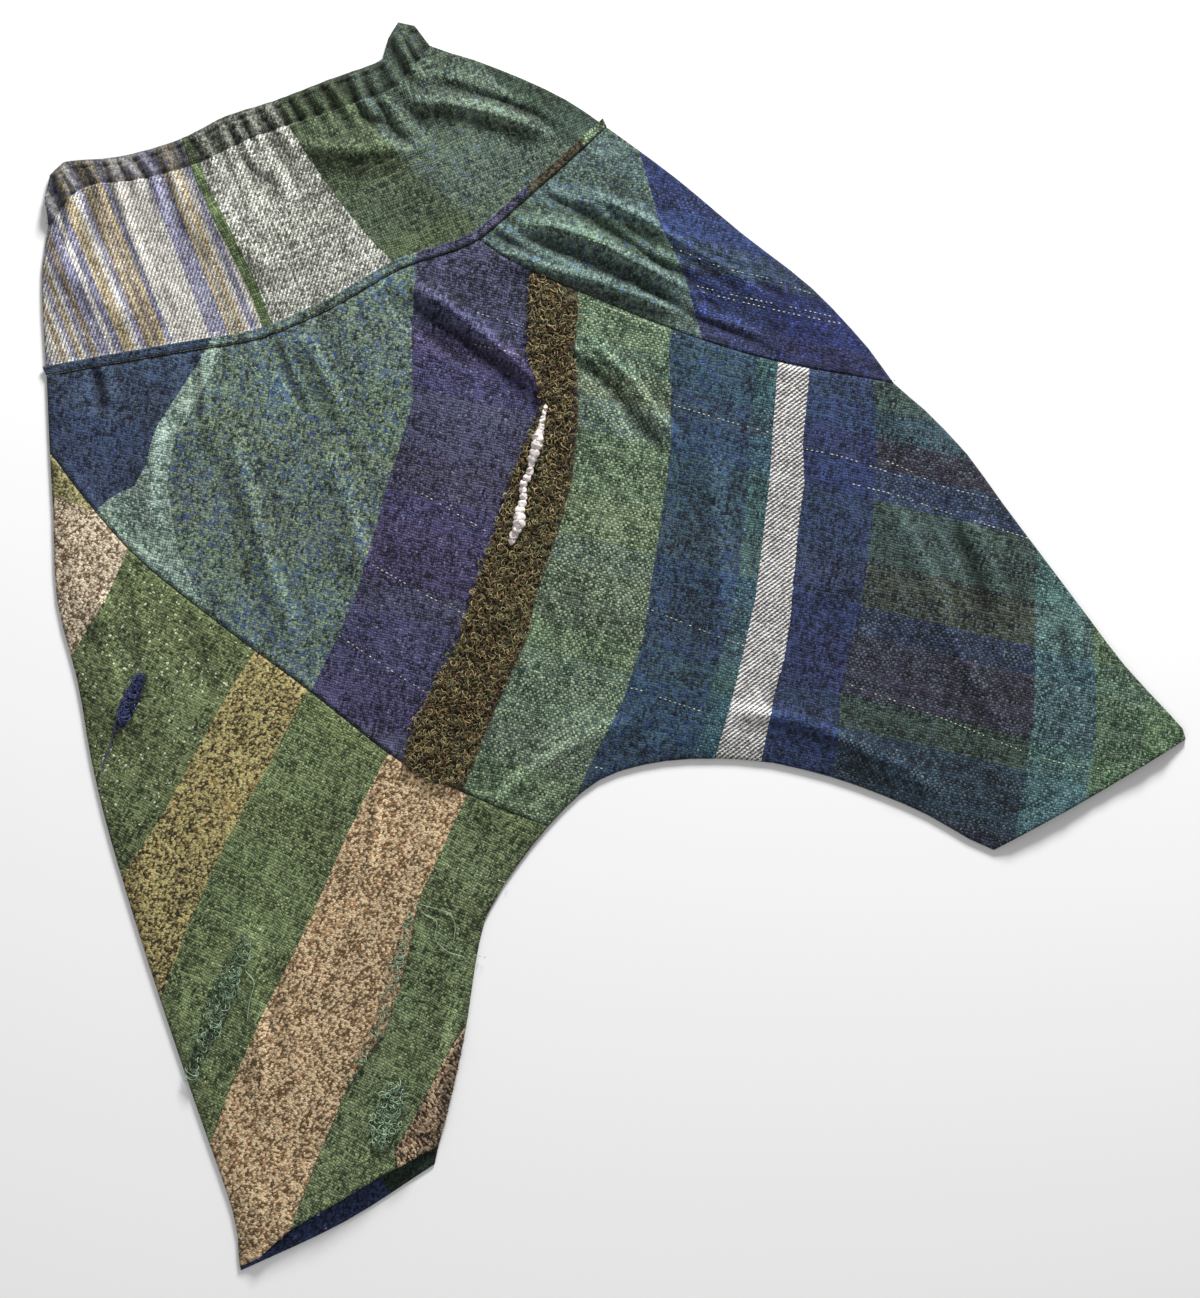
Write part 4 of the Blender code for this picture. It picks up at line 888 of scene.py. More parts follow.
def casing_surface(places):
    """Outer height of the front casing: a gathered band that rounds off at its top fold."""
    wave = np.zeros(len(places))
    for gather in GATHER_ROWS:
        slant = (places[:, 1] - gather.top[1]) * CREST_SLANT * math.sin(gather.top[0])
        distance = places[:, 0] - gather.top[0] - slant
        wave = np.maximum(wave, gather.rise * hump(distance, gather.width, gather.width))
    top = np.abs(along_line(places, WAIST_LINE)[0])
    sides = np.minimum(np.abs(places[:, 0] - WAIST_TOP[0][0]), np.abs(places[:, 0] - WAIST_TOP[-1][0]))
    rounding = ease(CASING_EDGE + (1 - CASING_EDGE) * np.minimum(top, sides) / CASING_ROUND)
    small = 1.1 * crumple(places, 40, 6, 1.6, 7.0) + 0.4 * crumple(places, 9, 4, 1.5, 8.0)
    foot = np.abs(along_line(places, CASING_LINE)[0])
    stitched = np.exp(-((top - 6.5) / 1.3) ** 2) + np.exp(-((foot - 1.5) / 1.5) ** 2)
    height = CASING_VALLEY + (CASING_CREST * wave + small) * rounding - 1.3 * stitched
    return height - 1.6 * np.exp(-(top / 1.8) ** 2)


casing_outline = outline_of(WAIST_LINE, CASING_LINE[::-1])
CASING_STRIPES = [
    Stripe("violet-grey tweed", dye(.16, .15, .14), dye(.66, .64, .62), dye(.44, .46, .66), 0.22, 0.5, 0.2, 0.3, 0.0),
    Stripe("green thread", dye(.12, .17, .09), dye(.42, .48, .32), dye(.50, .60, .40), 0.05, 0.1, 0, 0, 0.1),
    Stripe("grey tweed", dye(.16, .19, .15), dye(.70, .72, .66), dye(.30, .34, .26), 0.12, 0.5, 0.3, 0, 0.0),
] + YOKE_STRIPES[3:]
# The casing's colour is halved, as painted shade of its deep gathers.
shaded_casing_cloth = weave_cloth("waist casing cloth", CASING_STRIPES, YOKE_WEFTS, brightness_scale=0.5)
places, faces = cut_lattice(casing_outline, CASING_PITCH)
casing = make_cloth("waistband_front_cloth", places, faces, casing_surface(places), shaded_casing_cloth, YOKE_GRAIN,
                    number_stripes(places, YOKE_BORDERS), CASING)
places, faces = cut_lattice(casing_outline, CASING_PITCH * 2)
casing_back = make_cloth("waistband_back_cloth", places, faces, np.full(len(places), CASING), back_green,
                         BACK_GRAIN, np.full(len(places), 0.5), CASING - 0.2)
for piece, node, slot, under in ((casing, "waistband_front", "yoke_cloth", "waistband_back_cloth"),
                                 (casing_back, "waistband_back", "green_cloth", "table_top")):
    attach(piece, "root")
    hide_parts(node)

# Along the yoke's lower edge the body's own cloth is folded up as a flat band, pressed down over
# the yoke and held by two rows of stitches.
BAND_WIDTH = 8.5
BAND_LIFT = 0.35
BAND_PITCH = 1.4
band_top = YOKE_LINE - np.array((0, BAND_WIDTH))
places, faces = cut_lattice(outline_of(band_top + (0.6, 0), (YOKE_LINE - (0, 0.4))[::-1]), BAND_PITCH)
band_edge = np.abs(along_line(places, band_top)[0])
band = make_cloth("yoke_seam_band", places, faces, front_surface(places) + BAND_LIFT * ease(band_edge / 1.6),
                  striped_cloth, BODY_GRAIN, number_stripes(places, BODY_BORDERS), 0.7)
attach(band, "root")

# The seams, the casing and the hems are sewn with rows of short matching stitches. Pale thick picks
# of weft show as broken rows of beads that cross the stripes.
STITCH_STEP = 2.0


def link_node(tree, kind, settings, values):
    """Adds a node to a geometry tree, makes its settings and sets or links its sockets."""
    made = tree.nodes.new(kind)
    for setting, value in settings.items():
        setattr(made, setting, value)
    for key, value in values.items():
        if isinstance(value, bpy.types.NodeSocket):
            tree.links.new(value, made.inputs[key])
        else:
            made.inputs[key].default_value = value
    return made


def open_tree(name, inputs):
    """An empty geometry tree with named inputs: the tree, its group input and its group output."""
    tree = bpy.data.node_groups.new(name, "GeometryNodeTree")
    for label, kind in inputs:
        tree.interface.new_socket(label, in_out="INPUT", socket_type=kind)
    tree.interface.new_socket("Geometry", in_out="OUTPUT", socket_type="NodeSocketGeometry")
    return tree, tree.nodes.new("NodeGroupInput"), tree.nodes.new("NodeGroupOutput")


def build_stitches():
    """Beads of thread, one pitch apart along each edge line, turned along it and uneven in length."""
    tree, given, made = open_tree("rows of stitches", [
        ("Rows", "NodeSocketGeometry"), ("Pitch", "NodeSocketFloat"), ("Long", "NodeSocketFloat"),
        ("Wide", "NodeSocketFloat"), ("Missing", "NodeSocketFloat"), ("Thread", "NodeSocketMaterial")])
    line = link_node(tree, "GeometryNodeMeshToCurve", {}, {0: given.outputs["Rows"]})
    row = link_node(tree, "GeometryNodeResampleCurve", {"mode": "LENGTH"},
                    {"Curve": line.outputs[0], "Length": given.outputs["Pitch"]})
    bead = link_node(tree, "GeometryNodeMeshIcoSphere", {}, {"Radius": 0.5, "Subdivisions": 1})
    tangent = link_node(tree, "GeometryNodeInputTangent", {}, {})
    turn = link_node(tree, "FunctionNodeAlignRotationToVector", {"axis": "X"}, {"Vector": tangent.outputs[0]})
    uneven = link_node(tree, "FunctionNodeRandomValue", {"data_type": "FLOAT"}, {2: 0.7, 3: 1.2, "Seed": 4})
    long = link_node(tree, "ShaderNodeMath", {"operation": "MULTIPLY"},
                     {0: given.outputs["Long"], 1: uneven.outputs[1]})
    size = link_node(tree, "ShaderNodeCombineXYZ", {},
                     {0: long.outputs[0], 1: given.outputs["Wide"], 2: given.outputs["Wide"]})
    gap = link_node(tree, "FunctionNodeRandomValue", {"data_type": "FLOAT"}, {2: 0.0, 3: 1.0, "Seed": 9})
    kept = link_node(tree, "FunctionNodeCompare", {"operation": "GREATER_THAN"},
                     {0: gap.outputs[1], 1: given.outputs["Missing"]})
    placed = link_node(tree, "GeometryNodeInstanceOnPoints", {}, {
        "Points": row.outputs[0], "Selection": kept.outputs[0], "Instance": bead.outputs[0],
        "Rotation": turn.outputs[0], "Scale": size.outputs[0]})
    solid = link_node(tree, "GeometryNodeRealizeInstances", {}, {0: placed.outputs[0]})
    smooth = link_node(tree, "GeometryNodeSetShadeSmooth", {}, {0: solid.outputs[0]})
    done = link_node(tree, "GeometryNodeSetMaterial", {}, {0: smooth.outputs[0], "Material": given.outputs["Thread"]})
    tree.links.new(done.outputs[0], made.inputs[0])
    return tree


def plain_mesh(name, carrier, tree, inputs):
    """Runs a geometry tree on a carrier object and keeps the result as a plain mesh piece."""
    grown = carrier.modifiers.new("grown", "NODES")
    grown.node_group = tree
    for socket in tree.interface.items_tree:
        if socket.in_out == "INPUT" and socket.name in inputs:
            grown[socket.identifier] = inputs[socket.name]
    carrier.update_tag()
    ready = carrier.evaluated_get(bpy.context.evaluated_depsgraph_get())
    mesh = bpy.data.meshes.new_from_object(ready)
    mesh.name = name
    bpy.data.objects.remove(carrier, do_unlink=True)
    piece = bpy.data.objects.new(name, mesh)
    bpy.context.scene.collection.objects.link(piece)
    return piece


def line_object(name, lines, surface, lift):
    """Edge lines that lie on a surface of the garment, a lift above it."""
    points, edges = [], []
    for line in lines:
        path = smooth_line(line, STITCH_STEP)
        start = len(points)
        points += to_world(path, surface(path) + lift).tolist()
        edges += [(start + index, start + index + 1) for index in range(len(path) - 1)]
    mesh = bpy.data.meshes.new(name)
    mesh.from_pydata(points, edges, [])
    carrier = bpy.data.objects.new(name, mesh)
    bpy.context.scene.collection.objects.link(carrier)
    return carrier


def thread_paint(name, dark, light, rough=0.8):
    """Twisted thread: two shades that change along its length, with a fine ridge."""
    paint = bpy.data.materials.new(name)
    paint.use_nodes = True
    shader = paint.node_tree.nodes["Principled BSDF"]
    tree = Thread(paint.node_tree)
    place = tree.node("ShaderNodeTexCoord", {}, {}, 3)
    shade = tree.node("ShaderNodeTexNoise", {}, {"Vector": place, "Scale": 190.0, "Detail": 2.0})
    colour = ((shade - 0.5) * 2.2 + 0.5).clamp().between(dark, light)
    paint.node_tree.links.new(colour.socket, shader.inputs["Base Color"])
    twist = tree.node("ShaderNodeTexNoise", {}, {"Vector": place, "Scale": 1500.0, "Detail": 1.0})
    bump = tree.node("ShaderNodeBump", {}, {"Strength": 0.5, "Distance": 0.0004, "Height": twist})
    paint.node_tree.links.new(bump.socket, shader.inputs["Normal"])
    shader.inputs["Roughness"].default_value = rough
    shader.inputs["Sheen Weight"].default_value = 0.15
    return paint


def beside(line, offset):
    """A line moved sideways, to the viewer's right of its run down for a positive offset."""
    run = np.gradient(line, axis=0)
    side = np.column_stack([run[:, 1], -run[:, 0]]) / np.hypot(run[:, 0], run[:, 1])[:, None]
    return line + side * offset


stitches = build_stitches()
seam_thread = thread_paint("seam thread", dye(.09, .12, .10), dye(.24, .29, .22))
pale_pick = thread_paint("pale pick yarn", dye(.50, .56, .44), dye(.88, .90, .80))
sewn_rows = [
    ("yoke_topstitching", front_surface, 1.0, 2.9, 2.0, 0.62, 0.02, seam_thread, "green_threads", [
        beside(YOKE_LINE, 1.6), beside(YOKE_LINE, 7.0)]),
    ("panel_topstitching", front_surface, 0.1, 3.0, 2.0, 0.55, 0.03, seam_thread, "green_threads", [
        beside(LEG_LINE, 2.4), beside(HIP_LINE, 2.2), beside(ARCH_EDGE, 9.5)[2:-2],
        [(275, 847), (360, 846), (444, 841)], [(-440, 838), (-400, 841), (-360, 842), (-310, 838), (-276, 838)]]),
    ("casing_stitching", casing_surface, 0.1, 2.6, 1.8, 0.55, 0.03, seam_thread, "green_threads", [
        WAIST_LINE + np.array((0, 6.5)), CASING_LINE - np.array((0, 1.5))]),
    ("pale_weft_picks", front_surface, 0.12, 4.2, 2.5, 1.05, 0.30, pale_pick, "white_yarn", [
        [(160, 360), (186, 382), (203, 398), (240, 435), (269, 462)],
        [(58, 478), (83, 513), (104, 538), (146, 588), (163, 607)],
        [(15, 537), (51, 584), (68, 598), (88, 620), (108, 641)],
        [(285, 485), (311, 507), (346, 544)], [(309, 532), (338, 559), (368, 591), (416, 640)],
        [(338, 522), (356, 545), (374, 569), (409, 600)],
        [(228, 680), (281, 739), (332, 800), (371, 835), (412, 853)],
        [(-23, 354), (-10, 374), (18, 420)], [(-78, 402), (-48, 449), (-28, 477)],
        [(-131, 441), (-104, 491), (-91, 514)], [(-94, 197), (-87, 209)], [(-6, 526), (13, 544)],
        [(-51, 590), (-15, 622), (10, 642)], [(96, 254), (126, 284)], [(82, 276), (112, 304)],
        [(183, 225), (207, 245), (234, 272)], [(268, 285), (298, 321), (327, 346), (352, 373)],
        [(272, 324), (301, 350), (330, 374), (358, 398)], [(274, 331), (304, 358), (336, 386), (362, 407)],
        [(187, 293), (212, 322), (236, 350)],
    ]),
    ("pale_leg_picks", front_surface, 0.12, 4.0, 2.3, 0.85, 0.34, pale_pick, "white_yarn", [
        [(-287, 326), (-278, 358), (-267, 389)], [(-223, 484), (-210, 517), (-197, 551)],
        [(-278, 537), (-252, 578), (-232, 611)], [(-341, 584), (-316, 626), (-289, 665)],
        [(-390, 658), (-372, 695), (-351, 727)], [(-147, 648), (-122, 673), (-104, 690)],
        [(-187, 696), (-167, 721), (-148, 738)], [(-235, 741), (-213, 772), (-202, 788)],
        [(-400, 742), (-370, 790), (-352, 828)], [(-250, 400), (-230, 440), (-214, 470)],
    ]),
    ("green_yoke_picks", front_surface, 0.12, 3.4, 2.5, 0.7, 0.2,
     thread_paint("green pick yarn", dye(.40, .50, .32), dye(.66, .74, .54)), "green_threads", [
         [(-65, 117), (-34, 118), (2, 117), (41, 122), (111, 120), (136, 120), (170, 124), (200, 140)],
         [(57, 180), (102, 182), (140, 182), (183, 172), (222, 162)],
     ]),
]
for name, surface, lift, pitch, long, wide, missing, paint, slot, lines in sewn_rows:
    rows_on_cloth = line_object(name, lines, surface, lift)
    sewn = plain_mesh(name, rows_on_cloth, stitches, {
        "Pitch": pitch * MM, "Long": long * MM, "Wide": wide * MM, "Missing": missing, "Thread": paint})
    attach(sewn, "root")

# Down the front runs a strip of curly brown and olive pile, sewn on as a narrow backing with
# thousands of loose looped ends. The same pile, in navy and in green, fills the small frayed spots.
TRIM_LIFT = 0.3
TRIM_THICK = 1.2
STRIP_STEP = 60.0
LOCK_SIDES = 3
LOCK_RINGS = 8
Section = namedtuple("Section", "left right")
Curl = namedtuple("Curl", "turns wide rise thick")


def strip_outline(sections):
    """The outline of a strip from the smooth lines through the ends of its sections."""
    left = smooth_line([row.left for row in sections], STRIP_STEP)
    right = smooth_line([row.right for row in sections], STRIP_STEP)
    return np.vstack([left, right[::-1]])


def tube_faces(rings, sides, start=0):
    """The faces of a closed tube whose rings of points follow each other."""
    faces = [tuple(range(start + sides - 1, start - 1, -1))]
    for ring in range(rings - 1):
        base = start + ring * sides
        faces += [(base + side, base + (side + 1) % sides, base + sides + (side + 1) % sides,
                   base + sides + side) for side in range(sides)]
    last = start + (rings - 1) * sides
    return faces + [tuple(range(last, last + sides))]


def ring_points(path, radii, sides):
    """Rings of points round a path in space, each square to it."""
    path = np.array(path, dtype=float)
    run = np.gradient(path, axis=0)
    run /= np.linalg.norm(run, axis=1)[:, None] + 1e-12
    side = np.cross(run, (0.13, 0.07, 1.0))
    side /= np.linalg.norm(side, axis=1)[:, None] + 1e-12
    up = np.cross(side, run)
    angles = np.arange(sides) * 2 * math.pi / sides
    rings = [path[index] + radii[index] * (math.cos(angle) * side[index] + math.sin(angle) * up[index])
             for index in range(len(path)) for angle in angles]
    return rings


def wind_lock(name, curl):
    """One curled end of yarn, standing on the origin."""
    path, radii = [], []
    for ring in range(LOCK_RINGS):
        share = ring / (LOCK_RINGS - 1)
        angle = share * curl.turns * 2 * math.pi
        wide = curl.wide * (0.35 + 0.65 * share)
        path.append((wide * (math.cos(angle) - 1 + share * 1.2), wide * math.sin(angle),
                     curl.rise * math.sin(share * math.pi * 0.62)))
        radii.append(curl.thick / 2 * (1 - 0.55 * share))
    mesh = bpy.data.meshes.new(name)
    points = [tuple(part * MM for part in point) for point in ring_points(path, radii, LOCK_SIDES)]
    mesh.from_pydata(points, [], tube_faces(LOCK_RINGS, LOCK_SIDES))
    mesh.shade_smooth()
    return bpy.data.objects.new(name, mesh)


def build_pile(locks):
    """Curled locks strewn over a backing, turned and sized at random, each with its own tint."""
    tree, given, made = open_tree("curly pile", [
        ("Backing", "NodeSocketGeometry"), ("Density", "NodeSocketFloat"), ("Smallest", "NodeSocketFloat"),
        ("Largest", "NodeSocketFloat"), ("Seed", "NodeSocketInt"), ("Yarn", "NodeSocketMaterial")])
    strewn = link_node(tree, "GeometryNodeDistributePointsOnFaces", {}, {
        "Mesh": given.outputs["Backing"], "Density": given.outputs["Density"], "Seed": given.outputs["Seed"]})
    turn = link_node(tree, "FunctionNodeRandomValue", {"data_type": "FLOAT_VECTOR"},
                     {0: (-1.0, -1.0, 0.0), 1: (1.0, 1.0, 6.283), "Seed": 3})
    size = link_node(tree, "FunctionNodeRandomValue", {"data_type": "FLOAT"},
                     {2: given.outputs["Smallest"], 3: given.outputs["Largest"], "Seed": 5})
    pick = link_node(tree, "FunctionNodeRandomValue", {"data_type": "INT"}, {4: 0, 5: len(locks) - 1, "Seed": 6})
    tint = link_node(tree, "FunctionNodeRandomValue", {"data_type": "FLOAT"}, {2: 0.0, 3: 1.0, "Seed": 8})
    gathered = tree.nodes.new("GeometryNodeJoinGeometry")
    for lock in reversed(locks):
        held = link_node(tree, "GeometryNodeObjectInfo", {}, {"Object": lock, "As Instance": True})
        tree.links.new(held.outputs["Geometry"], gathered.inputs[0])
    placed = link_node(tree, "GeometryNodeInstanceOnPoints", {}, {
        "Points": strewn.outputs["Points"], "Instance": gathered.outputs[0], "Pick Instance": True,
        "Instance Index": pick.outputs[2], "Rotation": turn.outputs[0], "Scale": size.outputs[1]})
    tinted = link_node(tree, "GeometryNodeStoreNamedAttribute", {"data_type": "FLOAT", "domain": "INSTANCE"},
                       {"Geometry": placed.outputs[0], "Name": "tint", "Value": tint.outputs[1]})
    solid = link_node(tree, "GeometryNodeRealizeInstances", {}, {0: tinted.outputs[0]})
    done = link_node(tree, "GeometryNodeSetMaterial", {}, {0: solid.outputs[0], "Material": given.outputs["Yarn"]})
    tree.links.new(done.outputs[0], made.inputs[0])
    return tree


def pile_yarn(name, tints):
    """Matted yarn whose locks each take one of a few tints, blotched by a soft noise."""
    yarn = bpy.data.materials.new(name)
    yarn.use_nodes = True
    shader = yarn.node_tree.nodes["Principled BSDF"]
    tree = Thread(yarn.node_tree)
    tint = tree.node("ShaderNodeAttribute", {"attribute_name": "tint"}, {}, 2)
    place = tree.node("ShaderNodeTexCoord", {}, {}, 3)
    patch = tree.node("ShaderNodeTexNoise", {}, {"Vector": place, "Scale": 38.0, "Detail": 2.0})
    stops = [(index / len(tints), colour) for index, colour in enumerate(tints)]
    mixed = (tint * 0.95 + (patch - 0.5) * 0.8 + 0.02).clamp()
    colour = tree.node("ShaderNodeValToRGB", {"stops": stops, "steps": "LINEAR"}, {"Fac": mixed})
    yarn.node_tree.links.new(colour.socket, shader.inputs["Base Color"])
    twist = tree.node("ShaderNodeTexNoise", {}, {"Vector": place, "Scale": 1300.0, "Detail": 1.0})
    bump = tree.node("ShaderNodeBump", {}, {"Strength": 0.4, "Distance": 0.0004, "Height": twist})
    yarn.node_tree.links.new(bump.socket, shader.inputs["Normal"])
    shader.inputs["Roughness"].default_value = 0.85
    shader.inputs["Sheen Weight"].default_value = 0.1
    return yarn


locks = [wind_lock("short curl", Curl(0.75, 2.2, 3.0, 1.15)), wind_lock("round curl", Curl(1.2, 1.9, 4.0, 1.05)),
         wind_lock("long curl", Curl(0.5, 4.2, 3.2, 1.0))]
for lock in locks:
    bpy.context.scene.collection.objects.link(lock)
pile = build_pile(locks)
SHAG_SECTIONS = [
    Section((153, 248), (179, 287)), Section((121, 306), (153, 323)), Section((110, 350), (135, 363)),
    Section((59, 391), (102, 414)), Section((25, 425), (69, 449)), Section((-11, 457), (34, 481)),
    Section((-46, 491), (2, 517)), Section((-109, 533), (-56, 562)), Section((-133, 559), (-81, 586)),
    Section((-121, 586), (-101, 597)),
]
SLIT_SECTIONS = [
    Section((-322, 624), (-318, 630)), Section((-352, 641), (-343, 657)), Section((-378, 661), (-366, 679)),
    Section((-398, 684), (-389, 694)), Section((-413, 699), (-410, 705)),
]
RIDGE_SECTIONS = [
    Section((-182, 664), (-178, 669)), Section((-209, 689), (-202, 698)), Section((-236, 718), (-228, 728)),
    Section((-264, 744), (-257, 753)), Section((-307, 774), (-304, 778)),
]
TUFT_SECTIONS = [
    Section((-269, 792), (-262, 798)), Section((-288, 801), (-270, 817)), Section((-302, 816), (-283, 831)),
    Section((-308, 833), (-301, 840)),
]
NAVY_SECTIONS = [
    Section((-295, 388), (-290, 392)), Section((-308, 396), (-300, 405)), Section((-320, 405), (-312, 415)),
    Section((-331, 419), (-327, 423)),
]
Trim = namedtuple("Trim", "name node slot sections stripe density smallest largest seed tints width area")
brown_pile = [dye(.12, .08, .04), dye(.30, .23, .13), dye(.46, .38, .23), dye(.66, .58, .40), dye(.46, .46, .32)]
green_pile = [dye(.12, .18, .12), dye(.28, .37, .27), dye(.46, .57, .44), dye(.66, .76, .64)]
navy_pile = [dye(.08, .09, .18), dye(.15, .17, .32), dye(.24, .28, .46)]
trims = [
    Trim("shaggy", "shaggy_strip", "shaggy_pile", SHAG_SECTIONS, 4.5, 190000, 0.8, 1.5, 21, brown_pile,
         (0.06, 0.49), 0.0202),
    Trim("slit_fray", "frayed_slit", "green_threads", SLIT_SECTIONS, 4.5, 130000, 0.7, 1.2, 22, green_pile,
         (0.018, 0.12), 0.0014),
    Trim("ridge_fray", "frayed_ridge", "green_threads", RIDGE_SECTIONS, 5.5, 90000, 0.5, 0.9, 23, green_pile,
         (0.012, 0.17), 0.0013),
    Trim("hem_fray", "hem_tuft", "green_threads", TUFT_SECTIONS, 6.5, 150000, 0.7, 1.3, 24, green_pile,
         (0.022, 0.06), 0.0010),
    Trim("navy_fray", "navy_yarn", "navy_threads", NAVY_SECTIONS, 0.5, 260000, 0.6, 1.0, 25, navy_pile,
         (0.013, 0.05), 0.00042),
]
fray_cloth = weave_cloth("frayed backing cloth", LEG_STRIPES, LEG_WEFTS, brightness_scale=0.8)
TRIM_PITCH = 2.2
for trim in trims:
    shape = strip_outline(trim.sections)
    places, faces = cut_lattice(shape, TRIM_PITCH if trim.name == "shaggy" else TRIM_PITCH / 1.6)
    edge = np.abs(along_line(places, np.vstack([shape, shape[:1]]))[0])
    lift = (TRIM_LIFT + TRIM_THICK) * ease(0.4 + edge / 4) + 0.5 * crumple(places, 14, 9, 1.0, 11.0)
    material = striped_cloth if trim.name == "shaggy" else back_navy if trim.name == "navy_fray" else fray_cloth
    backing = make_cloth(trim.name + "_backing", places, faces, front_surface(places) + lift, material, BODY_GRAIN,
                         np.full(len(places), trim.stripe), 0.8)
    carrier = bpy.data.objects.new(trim.name, backing.data.copy())
    bpy.context.scene.collection.objects.link(carrier)
    yarn = pile_yarn(trim.name + " yarn", trim.tints)
    fringe = plain_mesh(trim.name + "_pile", carrier, pile, {
        "Density": trim.density, "Smallest": trim.smallest, "Largest": trim.largest, "Seed": trim.seed,
        "Yarn": yarn})
    for piece in (backing, fringe):
        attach(piece, "root")
        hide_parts(trim.node)

# A thick and thin slub yarn, cream and barely twisted, is caught down on the pile: two soft knots
# with a beaded thin stretch between them.
SLUB_SIDES = 14
SLUB_STEP = 0.6
Slub = namedtuple("Slub", "across down thick")
SLUBS = [
    Slub(113, 350, 2.6), Slub(107, 359, 3.4), Slub(101, 366, 5.0), Slub(94, 373, 8.0), Slub(87, 381, 7.0),
    Slub(80, 389, 4.6), Slub(73, 395, 5.6), Slub(65, 403, 4.8), Slub(58, 412, 6.0), Slub(50, 424, 8.4),
    Slub(42, 432, 6.4), Slub(32, 441, 5.0),
]
slub_path = smooth_line([(slub.across, slub.down) for slub in SLUBS], SLUB_STEP)
shares = np.linspace(0, 1, len(slub_path))
thick = np.interp(shares, np.linspace(0, 1, len(SLUBS)), [slub.thick for slub in SLUBS])
length = shares * np.hypot(*np.diff(slub_path, axis=0).T).sum()
beads = 0.62 + 0.42 * np.abs(np.sin(length * math.pi / 5.6)) ** 0.7 + 0.16 * crumple(slub_path, 3.0, 3.0, 0.0, 5.0)
radii = thick * 0.62 * beads * np.clip(np.minimum(shares, 1 - shares) * 40, 0.12, 1)
centre = front_surface(slub_path) + TRIM_LIFT + TRIM_THICK + 2.4 + radii * 0.8
axis = np.column_stack([slub_path + 0.8 * np.column_stack([np.sin(length / 4.1), np.cos(length / 3.3)]), centre])
slub_points = []
for point in ring_points(axis, radii, SLUB_SIDES):
    lump = 1 + 0.2 * noise.noise(Vector(point) * 0.45)
    slub_points.append((point[0] * MM, (MIDDLE_DOWN - point[1]) * MM, point[2] * lump * MM))
slub_mesh = bpy.data.meshes.new("slub_yarn_knots")
slub_mesh.from_pydata(slub_points, [], tube_faces(len(axis), SLUB_SIDES))
slub_shape = bmesh.new()
slub_shape.from_mesh(slub_mesh)
bmesh.ops.recalc_face_normals(slub_shape, faces=slub_shape.faces[:])
slub_shape.to_mesh(slub_mesh)
slub_shape.free()
slub_mesh.shade_smooth()
slub_mesh.materials.append(thread_paint("cream slub yarn", dye(.80, .74, .72), dye(.97, .95, .94)))
slub_yarn = bpy.data.objects.new("slub_yarn_knots", slub_mesh)
bpy.context.scene.collection.objects.link(slub_yarn)
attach(slub_yarn, "root")
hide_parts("slub_yarn")

# Where the cloth is torn or worn, long loose ends of its yarn loop out: along the slit, at both ends
# of the frayed ridge, at the hem and at the navy darn. Each is a thin twisted tube.
END_SIDES = 5
Loops = namedtuple("Loops", "node slot path count reach long thick side seed")
FRAYS = [
    Loops("frayed_slit", "green_threads", [(-318, 630), (-345, 652), (-372, 674), (-398, 694), (-411, 703)], 30,
          5.5, 9.0, 0.75, 1, 31),
    Loops("frayed_ridge", "green_threads", [(-184, 668), (-207, 694), (-232, 723), (-262, 748), (-300, 774)], 26,
          3.0, 5.0, 0.7, 1, 32),
    Loops("hem_tuft", "green_threads", [(-258, 786), (-268, 796), (-280, 810), (-296, 822)], 22,
          6.5, 12.0, 0.8, 1, 33),
    Loops("navy_yarn", "navy_threads", [(-292, 390), (-304, 400), (-316, 410), (-329, 421)], 16,
          4.5, 7.0, 1.0, -1, 34),
]
fray_paints = {
    "green_threads": thread_paint("frayed green ends", dye(.30, .40, .30), dye(.74, .84, .72)),
    "navy_threads": thread_paint("frayed navy ends", dye(.08, .10, .24), dye(.30, .34, .56)),
}
LOOSE_ENDS = [
    Loops("frayed_ridge", "green_threads", [(-180, 668), (-178, 680), (-172, 690), (-180, 702), (-176, 716),
                                            (-166, 728), (-172, 736)], 0, 0, 0, 1.1, 1, 0),
    Loops("frayed_ridge", "green_threads", [(-181, 667), (-172, 676), (-160, 688), (-160, 700), (-168, 712)],
          0, 0, 0, 0.9, 1, 0),
    Loops("frayed_slit", "green_threads", [(-316, 630), (-322, 640), (-332, 650), (-330, 662), (-342, 676),
                                           (-352, 690)], 0, 0, 0, 1.0, 1, 0),
    Loops("frayed_slit", "green_threads", [(-320, 628), (-330, 634), (-340, 650), (-346, 664)], 0, 0, 0, 0.9, 1, 0),
    Loops("navy_yarn", "navy_threads", [(-322, 410), (-331, 418), (-347, 434), (-364, 448)], 0, 0, 0, 1.3, 1, 0),
]


def thread_tubes(paths, thick):
    """Points and faces, in metres, of thin closed tubes along paths of (across, down, height)."""
    points, tubes = [], []
    for path in paths:
        radii = thick / 2 * np.clip(np.minimum(np.arange(len(path)), np.arange(len(path))[::-1]) * 0.8, 0.3, 1)
        start = len(points)
        points += [(x * MM, (MIDDLE_DOWN - y) * MM, z * MM) for x, y, z in ring_points(path, radii, END_SIDES)]
        tubes += tube_faces(len(path), END_SIDES, start)
    return points, tubes


